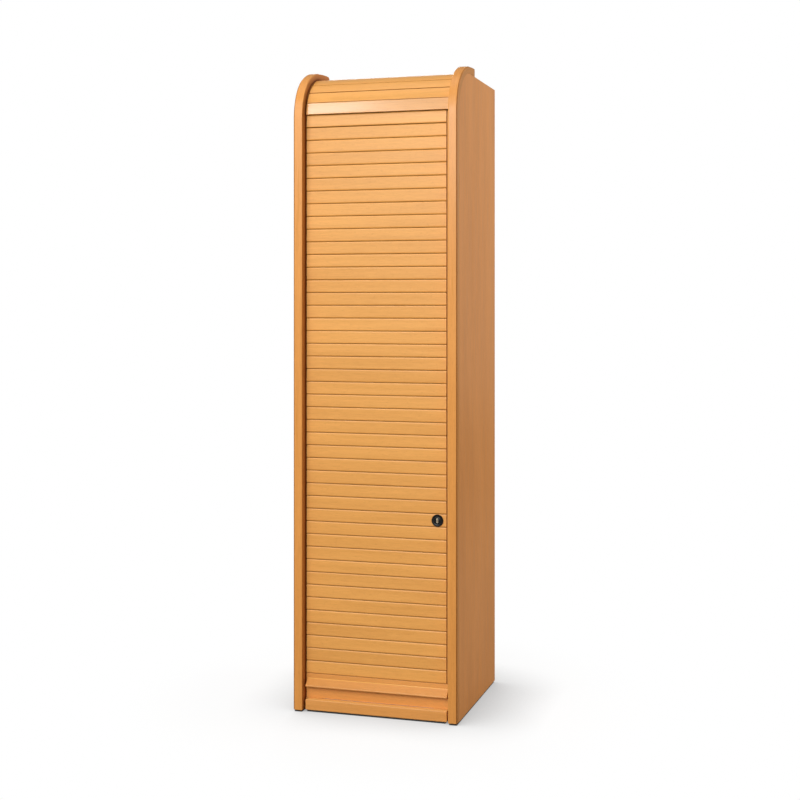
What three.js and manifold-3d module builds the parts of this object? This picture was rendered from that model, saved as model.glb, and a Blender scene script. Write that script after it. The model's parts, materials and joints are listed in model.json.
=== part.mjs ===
// Tall beech cabinet with a tambour door that runs up, round the top edge and down behind a false back.
// Millimetres, +Z up, front towards -Y. The origin is on the floor, in the middle of the cabinet's plan.
import * as THREE from 'three';
import { mergeVertices } from 'three/addons/utils/BufferGeometryUtils.js';
import Module from 'manifold-3d';

const wasm = await Module();
wasm.setup();

// Overall sizes
const width = 398;
const depth = 384;
const topHeight = 1502;
const boardThickness = 22;

// Rounded top front edge: the edging's outer radius, and how far the edging stands proud of the cover
const edgingRadius = 125;
const edgingProud = 19;
const edgingCorner = 5.5;
const edgingTopLength = 47;
const bendSteps = 14;
const shortArcSteps = 5;
const cornerSteps = 3;
const noseSteps = 4;
const headerSteps = 2;

// Clearances
const fitGap = 0.3;
const slidingGap = 0.5;
const sideGap = 1;
const overrun = 2;

// Plastic floor strips
const floorStripHeight = 4;
const floorStripWidth = 18;
const floorStripInset = 4;

// Horizontal boards and back panels
const topThickness = 22;
const bottomThickness = 19;
const bottomAbovePlinth = 3.5;
const innerTopThickness = 18;
const innerTopAboveDoor = 2;
const shelfThickness = 18;
const shelfCount = 3;
const backThickness = 6;
const backInset = 9.7;
const backClearance = 6.3;
const falseBackThickness = 6;
const falseBackClearance = 4.3;
const bottomBehindDoor = 3.5;
const lockSetBack = 9.2;
const shelfBehindLock = 2.6;
const rearRailThickness = 16;

// Front plinth rail
const plinthFromFront = 8.5;
const plinthThickness = 18;
const plinthTop = 28.5;
const plinthBevelHeight = 4.5;
const plinthBevelDepth = 5;
const plinthEndGap = 5;
const plinthBlockLength = 36;

// Curved cover and header rail over the door
const coverThickness = 4;
const headerRise = 10;
const headerClearance = 2;
const coverGrooveWidth = 2.4;
const coverGrooveDepth = 1.6;
const coverGrooveCount = 2;
const coverEndGap = 0.8;
const coverBlockWidth = 16;
const coverBlockDepth = 26;
const coverBlockDrop = 6;

// Slats and curtain
const slatPitch = 30;
const slatThickness = 10;
const slatEndGap = 3;
const slatGrooveWidth = 2.4;
const slatGrooveDepth = 2;
const slatsPastHeader = 2;
const slatsLeftInSight = 1;
const leastEndRailHeight = 50;

// Track that the slats' tongues run in
const trackBendBelowHeader = 21;
const trackBendRadius = 78;
const trackWidth = 7;
const trackDepth = 8;
const tongueEndGap = 0.8;
const trackRearEnd = 120;
const trackBendSteps = 10;

// End rail of the door with its grip
const endRailThickness = 14;
const gripReach = 17;
const gripDrop = 10;
const gripSlopeHeight = 16;
const gripNoseHeight = 2.5;
const gripUndersideDrop = 3.5;
const gripEndGap = 5;
const gripScrewCount = 3;
const gripScrewSpacing = 130;
const gripScrewDrop = 13;
const gripScrewLength = 18;

// Lock in the slat that is nearest to the lock's height
const lockFromSide = 53;
const lockHeight = 460;
const rosetteRadius = 14;
const rosetteThickness = 2.7;
const rosetteRim = 1.8;
const rosetteRimHeight = 0.6;
const barrelRadius = 9;
const barrelPastNut = 1.4;
const plugRadius = 6.2;
const plugRecess = 0.4;
const keywayWidth = 2.4;
const keywayHeight = 8.4;
const keywayDepth = 9;
const nutAcrossCorners = 27;
const nutThickness = 4;
const nutSides = 6;
const camPastTabEdge = 7.3;
const camWidth = 11;
const camThickness = 2;
const camGap = 0.5;
const camScrewReach = 5.5;
const shankRadius = 2.6;
const roundSides = 24;

// Strike bracket that the cam turns under
const strikePlateHeight = 44;
const strikePlateDepth = 14;
const strikeThickness = 1.6;
const strikeTabLength = 14;
const strikeTabAboveCam = 1.2;
const strikeBehindDoor = 1;
const strikeScrewFromEnd = 7.5;

// Rubber stops under the header
const stopWidth = 11;
const stopDepth = 8;
const stopHeight = 12;

// Shelf pins and their holes, on a 32 mm raster
const pinRadius = 2.5;
const pinLength = 16;
const pinInsertion = 8;
const pinSides = 8;
const holeDepth = 10;
const holeRaster = 32;
const holeCount = 3;
const pinFromShelfEdge = 37;

// Screws
const screwRadius = 2;
const screwHeadRadius = 4;
const screwHeadHeight = 2.2;
const smallScrewRadius = 1.5;
const smallScrewHeadRadius = 3.1;
const smallScrewLength = 14;
const screwSides = 12;
const backScrewLength = 18;
const backScrewFromSide = 60;

// Places worked out from the sizes
const innerHalf = width / 2 - boardThickness;
const coverRadius = edgingRadius - edgingProud;
const bendCentreHeight = topHeight - coverRadius;
const headerUnderside = bendCentreHeight + headerRise;
const headerBack = edgingRadius - Math.sqrt((coverRadius - coverThickness) ** 2 - headerRise ** 2);
const slatFromFront = headerBack + headerClearance;
const slatBack = slatFromFront + slatThickness;
const tongueThickness = trackWidth - slidingGap - slidingGap;
const trackFromFront = slatBack - tongueThickness / 2;
const trackBendStart = headerUnderside - trackBendBelowHeader;
const backPanelFromFront = depth - backInset - backThickness;
const trackRearFromFront = backPanelFromFront - backClearance - (trackFromFront - slatFromFront);
const falseBackRear = trackRearFromFront - tongueThickness / 2 - falseBackClearance;
const falseBackFromFront = falseBackRear - falseBackThickness;
const endRailBottom = plinthTop + fitGap;
const slatsInSight = Math.floor((headerUnderside - endRailBottom - leastEndRailHeight) / slatPitch);
const slatRun = slatsInSight * slatPitch;
const curtainBottom = headerUnderside + fitGap - slatRun;
const curtainTop = curtainBottom + slatRun + slatsPastHeader * slatPitch;
const trackBendCentre = trackFromFront + trackBendRadius;
const trackRearCentre = trackRearFromFront - trackBendRadius;
const slatHalf = innerHalf - slatEndGap;
const tongueHalf = innerHalf + trackDepth - tongueEndGap;
const endRailTop = curtainBottom - fitGap;
const endRailBack = slatFromFront + endRailThickness;
const gripTop = endRailTop - gripDrop;
const gripNoseTop = gripTop - gripSlopeHeight;
const doorTravel = (slatsInSight - slatsLeftInSight) * slatPitch;
const bottomUnderside = plinthTop + bottomAbovePlinth;
const bottomTop = bottomUnderside + bottomThickness;
const bottomFromFront = endRailBack + bottomBehindDoor;
const innerTopUnderside = endRailTop + doorTravel + innerTopAboveDoor;
const lockX = width / 2 - lockFromSide;
const lockSlat = Math.floor((lockHeight - curtainBottom) / slatPitch);
const lockZ = curtainBottom + lockSlat * slatPitch + slatPitch / 2;
const rosetteFront = slatFromFront - fitGap - rosetteThickness;
const barrelFront = rosetteFront - fitGap;
const nutFront = slatBack + fitGap;
const barrelBack = nutFront + nutThickness + barrelPastNut;
const camFront = barrelBack + camGap;
const camBack = camFront + camThickness;
const lockBack = camBack + fitGap + screwHeadHeight;
const strikeFace = innerHalf - fitGap;
const camLength = strikeFace - strikeTabLength + camPastTabEdge - lockX;
const shelfFrontFromFront = lockBack + lockSetBack + shelfBehindLock;
const shelfRear = falseBackFromFront - sideGap;
const pinRow = [shelfFrontFromFront + pinFromShelfEdge, shelfRear - pinFromShelfEdge];
const halfTurn = Math.PI;
const quarterTurn = Math.PI / 2;

// Finishes
const veneer = finish(0xc98f5a, 0.55);
const solidBeech = finish(0xeeac6a, 0.45);
const slatBeech = finish(0xe8a765, 0.5);
const panelBoard = finish(0xd9b98e, 0.6);
const blackPlastic = finish(0x2a2c2b, 0.6);
const blackMetal = finish(0x1e2224, 0.35, 0.6);
const rubber = finish(0x202020, 0.9);
const zinc = finish(0xb9bcc0, 0.35, 1);
const brass = finish(0x9a8b78, 0.4, 0.9);

function finish(colour, roughness, metalness = 0) {
  return new THREE.MeshStandardMaterial({ color: colour, roughness, metalness });
}

// Solids for joining and cutting

function solidOf(geometry) {
  const bare = geometry.clone();
  bare.deleteAttribute('normal');
  bare.deleteAttribute('uv');
  const merged = mergeVertices(bare);
  return new wasm.Manifold(new wasm.Mesh({
    numProp: 3,
    vertProperties: new Float32Array(merged.attributes.position.array),
    triVerts: new Uint32Array(merged.index.array),
  }));
}

function geometryOf(solid) {
  const mesh = solid.getMesh();
  const geometry = new THREE.BufferGeometry();
  geometry.setAttribute('position', new THREE.BufferAttribute(mesh.vertProperties, 3));
  geometry.setIndex(new THREE.BufferAttribute(mesh.triVerts, 1));
  geometry.computeVertexNormals();
  return geometry;
}

function cut(geometry, tools) {
  let solid = solidOf(geometry);
  for (const tool of tools) {
    solid = solid.subtract(solidOf(tool));
  }
  return geometryOf(solid);
}

function join(geometries) {
  let solid = solidOf(geometries[0]);
  for (const other of geometries.slice(1)) {
    solid = solid.add(solidOf(other));
  }
  return geometryOf(solid);
}

function block(x0, x1, y0, y1, z0, z1) {
  const geometry = new THREE.BoxGeometry(x1 - x0, y1 - y0, z1 - z0);
  return geometry.translate((x0 + x1) / 2, (y0 + y1) / 2, (z0 + z1) / 2);
}

function shapeOf(points) {
  return new THREE.Shape(points.map(([u, v]) => new THREE.Vector2(u, v)));
}

// An outline in (y, z) drawn out along x
function prismAlongX(points, x0, x1) {
  const geometry = new THREE.ExtrudeGeometry(shapeOf(points), { depth: x1 - x0, bevelEnabled: false });
  const turn = new THREE.Matrix4().makeBasis(
    new THREE.Vector3(0, 1, 0), new THREE.Vector3(0, 0, 1), new THREE.Vector3(1, 0, 0),
  );
  return geometry.applyMatrix4(turn).translate(x0, 0, 0);
}

// An outline in (x, z) drawn out along y
function prismAlongY(points, y0, y1) {
  const geometry = new THREE.ExtrudeGeometry(shapeOf(points), { depth: y1 - y0, bevelEnabled: false });
  const turn = new THREE.Matrix4().makeBasis(
    new THREE.Vector3(1, 0, 0), new THREE.Vector3(0, 0, 1), new THREE.Vector3(0, -1, 0),
  );
  return geometry.applyMatrix4(turn).translate(0, y1, 0);
}

// A round bar along y between two distances
function barAlongY(radius, y0, y1, sides = roundSides) {
  return new THREE.CylinderGeometry(radius, radius, y1 - y0, sides).translate(0, (y0 + y1) / 2, 0);
}

// A round bar along x
function barAlongX(radius, x0, x1, sides) {
  const bar = new THREE.CylinderGeometry(radius, radius, x1 - x0, sides).rotateZ(quarterTurn);
  return bar.translate((x0 + x1) / 2, 0, 0);
}

// The radius that a cutter with few sides needs to clear a round bar of the same number of sides
function clearRadius(radius, gap, sides) {
  return (radius + gap) / Math.cos(halfTurn / sides);
}

function arcPoints(centreY, centreZ, radius, fromAngle, toAngle, steps) {
  return Array.from({ length: steps + 1 }, (_, i) => {
    const angle = fromAngle + (toAngle - fromAngle) * i / steps;
    return [centreY - radius * Math.cos(angle), centreZ + radius * Math.sin(angle)];
  });
}

const cabinet = new THREE.Group();
cabinet.position.y = -depth / 2;

function place(parent, name, geometry, material, x = 0, y = 0, z = 0) {
  const mesh = new THREE.Mesh(geometry, material);
  mesh.name = name;
  mesh.position.set(x, y, z);
  parent.add(mesh);
  return mesh;
}

// Track

// Stations along the middle of the track, each with the direction that points out of the cabinet
function trackStations() {
  const stations = [{ y: trackFromFront, z: plinthTop, out: [-1, 0] }];
  for (let i = 0; i <= trackBendSteps; i += 1) {
    const angle = quarterTurn * i / trackBendSteps;
    stations.push(bendStation(trackBendCentre, angle));
  }
  for (let i = 0; i <= trackBendSteps; i += 1) {
    const angle = quarterTurn + quarterTurn * i / trackBendSteps;
    stations.push(bendStation(trackRearCentre, angle));
  }
  stations.push({ y: trackRearFromFront, z: trackRearEnd, out: [1, 0] });
  return stations;
}

function bendStation(centreY, angle) {
  const out = [-Math.cos(angle), Math.sin(angle)];
  return {
    y: centreY + trackBendRadius * out[0],
    z: trackBendStart + trackBendRadius * out[1],
    out,
  };
}

// The place of the curtain's middle line at a length above the floor
function curtainStation(length) {
  if (length <= trackBendStart) {
    return { y: trackFromFront, z: length, out: [-1, 0] };
  }
  return bendStation(trackBendCentre, (length - trackBendStart) / trackBendRadius);
}

function offset(station, distance) {
  return [station.y + station.out[0] * distance, station.z + station.out[1] * distance];
}

function bandOutline(stations, outside, inside) {
  const outer = stations.map((station) => offset(station, outside));
  const inner = stations.map((station) => offset(station, inside)).reverse();
  return [...outer, ...inner];
}

// Side boards

function sideBoardOutline() {
  return [
    [edgingProud, floorStripHeight],
    ...arcPoints(edgingRadius, bendCentreHeight, coverRadius, 0, quarterTurn, bendSteps),
    [depth, topHeight],
    [depth, floorStripHeight],
  ];
}

function shelfUnderside(index) {
  const room = innerTopUnderside - bottomTop - shelfCount * shelfThickness;
  const opening = room / (shelfCount + 1);
  return bottomTop + opening + index * (opening + shelfThickness);
}

function pinHeight(index) {
  return shelfUnderside(index) - pinRadius - fitGap;
}

// A side board spans from its inner face at x 0 to its outer face at the board's thickness, along +x
function sideBoard(name, side) {
  const track = bandOutline(trackStations(), trackWidth / 2, -trackWidth / 2);
  const cutters = [prismAlongX(track, -overrun, trackDepth)];
  const holeRadius = clearRadius(pinRadius, fitGap, pinSides);
  for (let shelf = 0; shelf < shelfCount; shelf += 1) {
    for (let hole = 0; hole < holeCount; hole += 1) {
      const z = pinHeight(shelf) + hole * holeRaster - (holeCount - 1) * holeRaster / 2;
      for (const y of pinRow) {
        cutters.push(barAlongX(holeRadius, -overrun, holeDepth, pinSides).translate(0, y, z));
      }
    }
  }
  if (side > 0) {
    const screwHole = clearRadius(smallScrewRadius, fitGap, screwSides);
    for (const z of strikeScrewHeights()) {
      const bore = barAlongX(screwHole, -overrun, smallScrewLength, screwSides);
      cutters.push(bore.translate(0, strikeMiddle(), z));
    }
  }
  const board = cut(prismAlongX(sideBoardOutline(), 0, boardThickness), cutters);
  if (side < 0) {
    mirrorX(board);
  }
  place(cabinet, name, board, veneer, side * innerHalf);
}

// Turns a geometry over to the other side of the cabinet and keeps its faces pointing out
function mirrorX(geometry) {
  geometry.scale(-1, 1, 1);
  const index = geometry.index.array;
  for (let i = 0; i < index.length; i += 3) {
    [index[i], index[i + 1]] = [index[i + 1], index[i]];
  }
}

// Solid edging

// The rounded section of the edging across its width, at a given depth
function edgingSection(sectionDepth) {
  const corner = Math.min(edgingCorner, sectionDepth, boardThickness / 2);
  const section = [[boardThickness, 0]];
  for (let i = 0; i <= cornerSteps; i += 1) {
    const angle = quarterTurn * i / cornerSteps;
    section.push([
      boardThickness - corner + corner * Math.cos(angle),
      sectionDepth - corner + corner * Math.sin(angle),
    ]);
  }
  for (let i = 0; i <= cornerSteps; i += 1) {
    const angle = quarterTurn + quarterTurn * i / cornerSteps;
    section.push([corner + corner * Math.cos(angle), sectionDepth - corner + corner * Math.sin(angle)]);
  }
  section.push([0, 0]);
  return section;
}

// Stations up the front, round the bend and along the top, where the end is rounded off
function edgingStations() {
  const innerRadius = coverRadius + fitGap;
  const full = edgingRadius - innerRadius;
  const stations = [{ y: edgingRadius - innerRadius, z: floorStripHeight, out: [-1, 0], deep: full }];
  for (let i = 0; i <= bendSteps; i += 1) {
    const angle = quarterTurn * i / bendSteps;
    const out = [-Math.cos(angle), Math.sin(angle)];
    stations.push({
      y: edgingRadius + innerRadius * out[0],
      z: bendCentreHeight + innerRadius * out[1],
      out,
      deep: full,
    });
  }
  for (let i = 0; i < noseSteps; i += 1) {
    const angle = quarterTurn * i / noseSteps;
    stations.push({
      y: edgingRadius + edgingTopLength - full + full * Math.sin(angle),
      z: bendCentreHeight + innerRadius,
      out: [0, 1],
      deep: full * Math.cos(angle),
    });
  }
  return stations;
}

function edging(name, side) {
  const rings = edgingStations().map((station) => edgingSection(station.deep).map(([x, deep]) => {
    const [y, z] = offset(station, deep);
    return [x, y, z];
  }));
  const strip = sweep(rings);
  if (side < 0) {
    mirrorX(strip);
  }
  place(cabinet, name, strip, solidBeech, side * innerHalf);
}

// A closed body through a row of rings with equal numbers of points
function sweep(rings) {
  const count = rings[0].length;
  const index = [];
  for (let r = 0; r + 1 < rings.length; r += 1) {
    for (let i = 0; i < count; i += 1) {
      const a = r * count + i;
      const b = r * count + (i + 1) % count;
      index.push(a, b, b + count, a, b + count, a + count);
    }
  }
  const last = (rings.length - 1) * count;
  for (let i = 1; i + 1 < count; i += 1) {
    index.push(0, i + 1, i);
    index.push(last, last + i, last + i + 1);
  }
  const geometry = new THREE.BufferGeometry();
  geometry.setAttribute('position', new THREE.Float32BufferAttribute(rings.flat(2), 3));
  geometry.setIndex(index);
  if (signedVolume(geometry) < 0) {
    for (let i = 0; i < index.length; i += 3) {
      [index[i], index[i + 1]] = [index[i + 1], index[i]];
    }
    geometry.setIndex(index);
  }
  geometry.computeVertexNormals();
  return geometry;
}

function signedVolume(geometry) {
  const [a, b, c] = [new THREE.Vector3(), new THREE.Vector3(), new THREE.Vector3()];
  const { position } = geometry.attributes;
  const index = geometry.index.array;
  let sum = 0;
  for (let i = 0; i < index.length; i += 3) {
    a.fromBufferAttribute(position, index[i]);
    b.fromBufferAttribute(position, index[i + 1]);
    c.fromBufferAttribute(position, index[i + 2]);
    sum += a.dot(b.cross(c));
  }
  return sum;
}

// Horizontal boards, rails and back panels

function horizontalBoards() {
  const fitted = innerHalf - fitGap;
  const backFace = backPanelFromFront - fitGap;
  const screwHole = clearRadius(screwRadius, fitGap, screwSides);
  const pilots = [-1, 1].map((side) => {
    const bore = barAlongY(screwHole, backFace - backScrewLength, backFace + overrun, screwSides);
    return bore.translate(side * backScrewX(), 0, topHeight - topThickness / 2);
  });
  place(cabinet, 'top_panel', cut(
    block(-fitted, fitted, edgingRadius, backFace, topHeight - topThickness, topHeight),
    pilots,
  ), veneer);
  place(cabinet, 'inner_top', block(
    -fitted, fitted, shelfFrontFromFront, falseBackRear,
    innerTopUnderside, innerTopUnderside + innerTopThickness,
  ), veneer);
  place(cabinet, 'bottom_panel', block(
    -fitted, fitted, bottomFromFront, backFace, bottomUnderside, bottomTop,
  ), veneer);
  place(cabinet, 'false_back', block(
    -fitted, fitted, falseBackFromFront, falseBackRear,
    bottomTop + fitGap, innerTopUnderside - fitGap,
  ), panelBoard);
  for (let shelf = 0; shelf < shelfCount; shelf += 1) {
    const z = shelfUnderside(shelf);
    const half = innerHalf - sideGap;
    place(cabinet, `shelf_${shelf + 1}`, block(
      -half, half, shelfFrontFromFront, shelfRear, z, z + shelfThickness,
    ), veneer);
  }
}

function backScrewX() {
  return innerHalf - backScrewFromSide;
}

function backScrewHeights() {
  return [(floorStripHeight + bottomUnderside) / 2, topHeight - topThickness / 2];
}

function backPanel() {
  const fitted = innerHalf - fitGap;
  const holeRadius = clearRadius(screwRadius, fitGap, screwSides);
  const back = backPanelFromFront + backThickness;
  const holes = [];
  for (const side of [-1, 1]) {
    holes.push(barAlongY(holeRadius, backPanelFromFront - overrun, back + overrun, screwSides)
      .translate(side * backScrewX(), 0, topHeight - topThickness / 2));
    holes.push(barAlongY(holeRadius, backPanelFromFront - overrun, back + overrun, screwSides)
      .translate(side * backScrewX(), 0, backScrewHeights()[0]));
  }
  place(cabinet, 'back_panel', cut(
    block(-fitted, fitted, backPanelFromFront, back, floorStripHeight, topHeight),
    holes,
  ), panelBoard);
}

function rearRail() {
  const fitted = innerHalf - fitGap;
  const backFace = backPanelFromFront - fitGap;
  const front = backFace - rearRailThickness;
  const holeRadius = clearRadius(screwRadius, fitGap, screwSides);
  const pilots = [-1, 1].map((side) => {
    const bore = barAlongY(holeRadius, front - overrun, backFace + overrun, screwSides);
    return bore.translate(side * backScrewX(), 0, backScrewHeights()[0]);
  });
  place(cabinet, 'rear_plinth_rail', cut(
    block(-fitted, fitted, front, backFace, floorStripHeight, bottomUnderside - fitGap),
    pilots,
  ), veneer);
}

function backScrews() {
  const head = backPanelFromFront + backThickness + fitGap;
  const screw = join([
    barAlongY(screwRadius, -backScrewLength + backThickness, screwHeadHeight / 2, screwSides),
    barAlongY(screwHeadRadius, 0, screwHeadHeight, screwSides),
  ]);
  let number = 1;
  for (const z of backScrewHeights()) {
    for (const side of [-1, 1]) {
      place(cabinet, `back_screw_${number}`, screw, zinc, side * backScrewX(), head, z);
      number += 1;
    }
  }
}

function plinthRail() {
  const half = innerHalf - plinthEndGap;
  const back = plinthFromFront + plinthThickness;
  const outline = [
    [plinthFromFront, floorStripHeight],
    [plinthFromFront, plinthTop - plinthBevelHeight],
    [plinthFromFront + plinthBevelDepth, plinthTop],
    [back, plinthTop],
    [back, floorStripHeight],
  ];
  place(cabinet, 'plinth_rail', prismAlongX(outline, -half, half), solidBeech);
  // Blocks behind the rail's ends hold it between the side boards
  for (const side of [-1, 1]) {
    const name = side < 0 ? 'plinth_block_left' : 'plinth_block_right';
    const inner = half - plinthBlockLength;
    const outer = innerHalf - fitGap;
    place(cabinet, name, block(
      Math.min(side * inner, side * outer), Math.max(side * inner, side * outer),
      back + fitGap, back + fitGap + plinthThickness, floorStripHeight, plinthTop,
    ), veneer);
  }
}

function floorStrips() {
  const middle = innerHalf + boardThickness / 2;
  for (const side of [-1, 1]) {
    const name = side < 0 ? 'floor_strip_left' : 'floor_strip_right';
    place(cabinet, name, block(
      side * middle - floorStripWidth / 2, side * middle + floorStripWidth / 2,
      floorStripInset, depth - floorStripInset, 0, floorStripHeight,
    ), blackPlastic);
  }
  const half = innerHalf - plinthEndGap - floorStripInset;
  const front = plinthFromFront + floorStripInset / 2;
  const back = plinthFromFront + plinthThickness - floorStripInset / 2;
  place(cabinet, 'floor_strip_front', block(-half, half, front, back, 0, floorStripHeight), blackPlastic);
}

// Curved cover and header rail

function headerTopAngle() {
  return headerBottomAngle() + slatPitch / coverRadius;
}

function headerBottomAngle() {
  return Math.asin((headerUnderside - bendCentreHeight) / coverRadius);
}

function header() {
  const half = innerHalf - coverEndGap;
  const outer = [coverPoint(headerBottomAngle(), 0), coverPoint(headerTopAngle(), 0)];
  const radius = coverRadius - coverThickness;
  const inner = arcPoints(
    edgingRadius, bendCentreHeight, radius, headerTopAngle(), headerBottomAngle(), headerSteps,
  );
  place(cabinet, 'header_rail', prismAlongX([...outer, ...inner], -half, half), solidBeech);
}

function curvedCover() {
  const half = innerHalf - coverEndGap;
  const start = headerTopAngle() + fitGap / coverRadius;
  const end = quarterTurn - fitGap / coverRadius;
  const outer = [];
  const pitchAngle = slatPitch / coverRadius;
  const halfGroove = coverGrooveWidth / 2 / coverRadius;
  outer.push(coverPoint(start, 0));
  for (let groove = 1; groove <= coverGrooveCount; groove += 1) {
    const angle = headerTopAngle() + groove * pitchAngle;
    outer.push(coverPoint(angle - pitchAngle / 2, 0));
    outer.push(coverPoint(angle - halfGroove, 0));
    outer.push(coverPoint(angle, coverGrooveDepth));
    outer.push(coverPoint(angle + halfGroove, 0));
  }
  const lastGroove = headerTopAngle() + coverGrooveCount * pitchAngle;
  const rest = end - lastGroove - halfGroove;
  for (let i = 1; i <= shortArcSteps; i += 1) {
    outer.push(coverPoint(lastGroove + halfGroove + rest * i / shortArcSteps, 0));
  }
  const inside = coverRadius - coverThickness;
  const inner = arcPoints(edgingRadius, bendCentreHeight, inside, end, start, bendSteps);
  place(cabinet, 'curved_cover', prismAlongX([...outer, ...inner], -half, half), slatBeech);
}

function coverPoint(angle, sunk) {
  const radius = coverRadius - sunk;
  return [edgingRadius - radius * Math.cos(angle), bendCentreHeight + radius * Math.sin(angle)];
}

// Blocks on the side boards that the cover and the top panel's front edge are screwed to
function coverBlocks() {
  const bottom = topHeight - topThickness - coverBlockDrop;
  const outer = innerHalf - fitGap;
  const inner = outer - coverBlockWidth;
  const radius = coverRadius - coverThickness - fitGap;
  const back = edgingRadius - fitGap;
  const front = back - coverBlockDepth;
  const fromAngle = Math.acos((edgingRadius - front) / radius);
  const toAngle = Math.acos((edgingRadius - back) / radius);
  const curve = arcPoints(edgingRadius, bendCentreHeight, radius, fromAngle, toAngle, shortArcSteps);
  const outline = [[front, bottom], ...curve, [back, bottom]];
  for (const side of [-1, 1]) {
    const name = side < 0 ? 'cover_block_left' : 'cover_block_right';
    const [from, to] = side < 0 ? [-outer, -inner] : [inner, outer];
    place(cabinet, name, prismAlongX(outline, from, to), veneer);
  }
}

// Rubber stops that the end rail meets when the door is fully open
function doorStops() {
  const bottom = endRailTop + doorTravel + fitGap;
  for (const side of [-1, 1]) {
    const name = side < 0 ? 'door_stop_left' : 'door_stop_right';
    const outer = innerHalf - fitGap;
    const [from, to] = side < 0 ? [-outer, -outer + stopWidth] : [outer - stopWidth, outer];
    place(cabinet, name, block(from, to, slatBack + slidingGap, slatBack + slidingGap + stopDepth,
      bottom, bottom + stopHeight), rubber);
  }
}

// Shelf pins

function shelfPins() {
  const pin = barAlongX(pinRadius, 0, pinLength, pinSides);
  for (let shelf = 0; shelf < shelfCount; shelf += 1) {
    let number = 1;
    for (const side of [-1, 1]) {
      for (const y of pinRow) {
        const start = innerHalf + pinInsertion;
        const x = side < 0 ? -start : start - pinLength;
        place(cabinet, `shelf_${shelf + 1}_pin_${number}`, pin, zinc, x, y, pinHeight(shelf));
        number += 1;
      }
    }
  }
}

// Door: curtain of slats on a canvas back, end rail and grip

function curtainOutline() {
  const front = trackFromFront - slatFromFront;
  const back = front - slatThickness;
  const outer = [];
  const slats = slatsInSight + slatsPastHeader;
  for (let slat = 0; slat < slats; slat += 1) {
    const start = curtainBottom + slat * slatPitch;
    const halfGroove = slatGrooveWidth / 2;
    if (slat > 0) {
      outer.push(offset(curtainStation(start), front - slatGrooveDepth));
      outer.push(offset(curtainStation(start + halfGroove), front));
    } else {
      outer.push(offset(curtainStation(start), front));
    }
    const end = slat + 1 < slats ? start + slatPitch - halfGroove : start + slatPitch;
    outer.push(offset(curtainStation(end), front));
  }
  const inner = [];
  for (let i = 0; i <= bendSteps; i += 1) {
    const length = curtainTop + (trackBendStart - curtainTop) * i / bendSteps;
    inner.push(offset(curtainStation(length), back));
  }
  inner.push(offset(curtainStation(curtainBottom), back));
  return [...outer, ...inner];
}

function curtainTongueOutline() {
  const stations = [curtainStation(curtainBottom)];
  for (let i = 0; i <= bendSteps; i += 1) {
    stations.push(curtainStation(trackBendStart + (curtainTop - trackBendStart) * i / bendSteps));
  }
  return bandOutline(stations, tongueThickness / 2, -tongueThickness / 2);
}

function curtain() {
  const slats = prismAlongX(curtainOutline(), -slatHalf, slatHalf);
  const tongues = prismAlongX(curtainTongueOutline(), -tongueHalf, tongueHalf);
  const hole = barAlongY(
    clearRadius(barrelRadius, fitGap, roundSides), slatFromFront - overrun, slatBack + overrun,
  ).translate(lockX, 0, lockZ);
  place(cabinet, 'tambour_curtain', cut(join([slats, tongues]), [hole]), slatBeech);
}

function gripScrewPlaces() {
  return Array.from({ length: gripScrewCount }, (_, i) => (i - (gripScrewCount - 1) / 2) * gripScrewSpacing);
}

function gripScrewHeight() {
  return gripTop - gripScrewDrop;
}

function endRail() {
  const rail = join([
    block(-slatHalf, slatHalf, slatFromFront, endRailBack, endRailBottom, endRailTop),
    block(-tongueHalf, tongueHalf, slatBack - tongueThickness, slatBack, endRailBottom, endRailTop),
  ]);
  const shank = clearRadius(screwRadius, fitGap, screwSides);
  const sink = clearRadius(screwHeadRadius, fitGap, screwSides);
  const holes = [];
  for (const x of gripScrewPlaces()) {
    holes.push(barAlongY(shank, slatFromFront - overrun, endRailBack + overrun, screwSides)
      .translate(x, 0, gripScrewHeight()));
    holes.push(barAlongY(sink, endRailBack - screwHeadHeight - fitGap, endRailBack + overrun, screwSides)
      .translate(x, 0, gripScrewHeight()));
  }
  place(cabinet, 'end_rail', cut(rail, holes), solidBeech);
}

function grip() {
  const half = innerHalf - gripEndGap;
  const back = slatFromFront - fitGap;
  const nose = slatFromFront - gripReach;
  const outline = [
    [back, gripTop],
    [back, gripNoseTop - gripNoseHeight - gripUndersideDrop],
    [nose, gripNoseTop - gripNoseHeight],
    [nose, gripNoseTop],
  ];
  const reach = gripScrewLength - (endRailBack - screwHeadHeight - back);
  const pilots = gripScrewPlaces().map((x) => barAlongY(
    clearRadius(screwRadius, fitGap, screwSides), back - reach - fitGap, back + overrun, screwSides,
  ).translate(x, 0, gripScrewHeight()));
  place(cabinet, 'grip_strip', cut(prismAlongX(outline, -half, half), pilots), solidBeech);
}

function gripScrews() {
  const headFront = endRailBack - screwHeadHeight;
  const screw = join([
    barAlongY(screwRadius, -gripScrewLength, screwHeadHeight / 2, screwSides),
    barAlongY(screwHeadRadius, 0, screwHeadHeight - fitGap, screwSides),
  ]);
  gripScrewPlaces().forEach((x, i) => {
    place(cabinet, `grip_screw_${i + 1}`, screw, zinc, x, headFront, gripScrewHeight());
  });
}

// Lock, with each piece drawn about the lock's own axis

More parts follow.
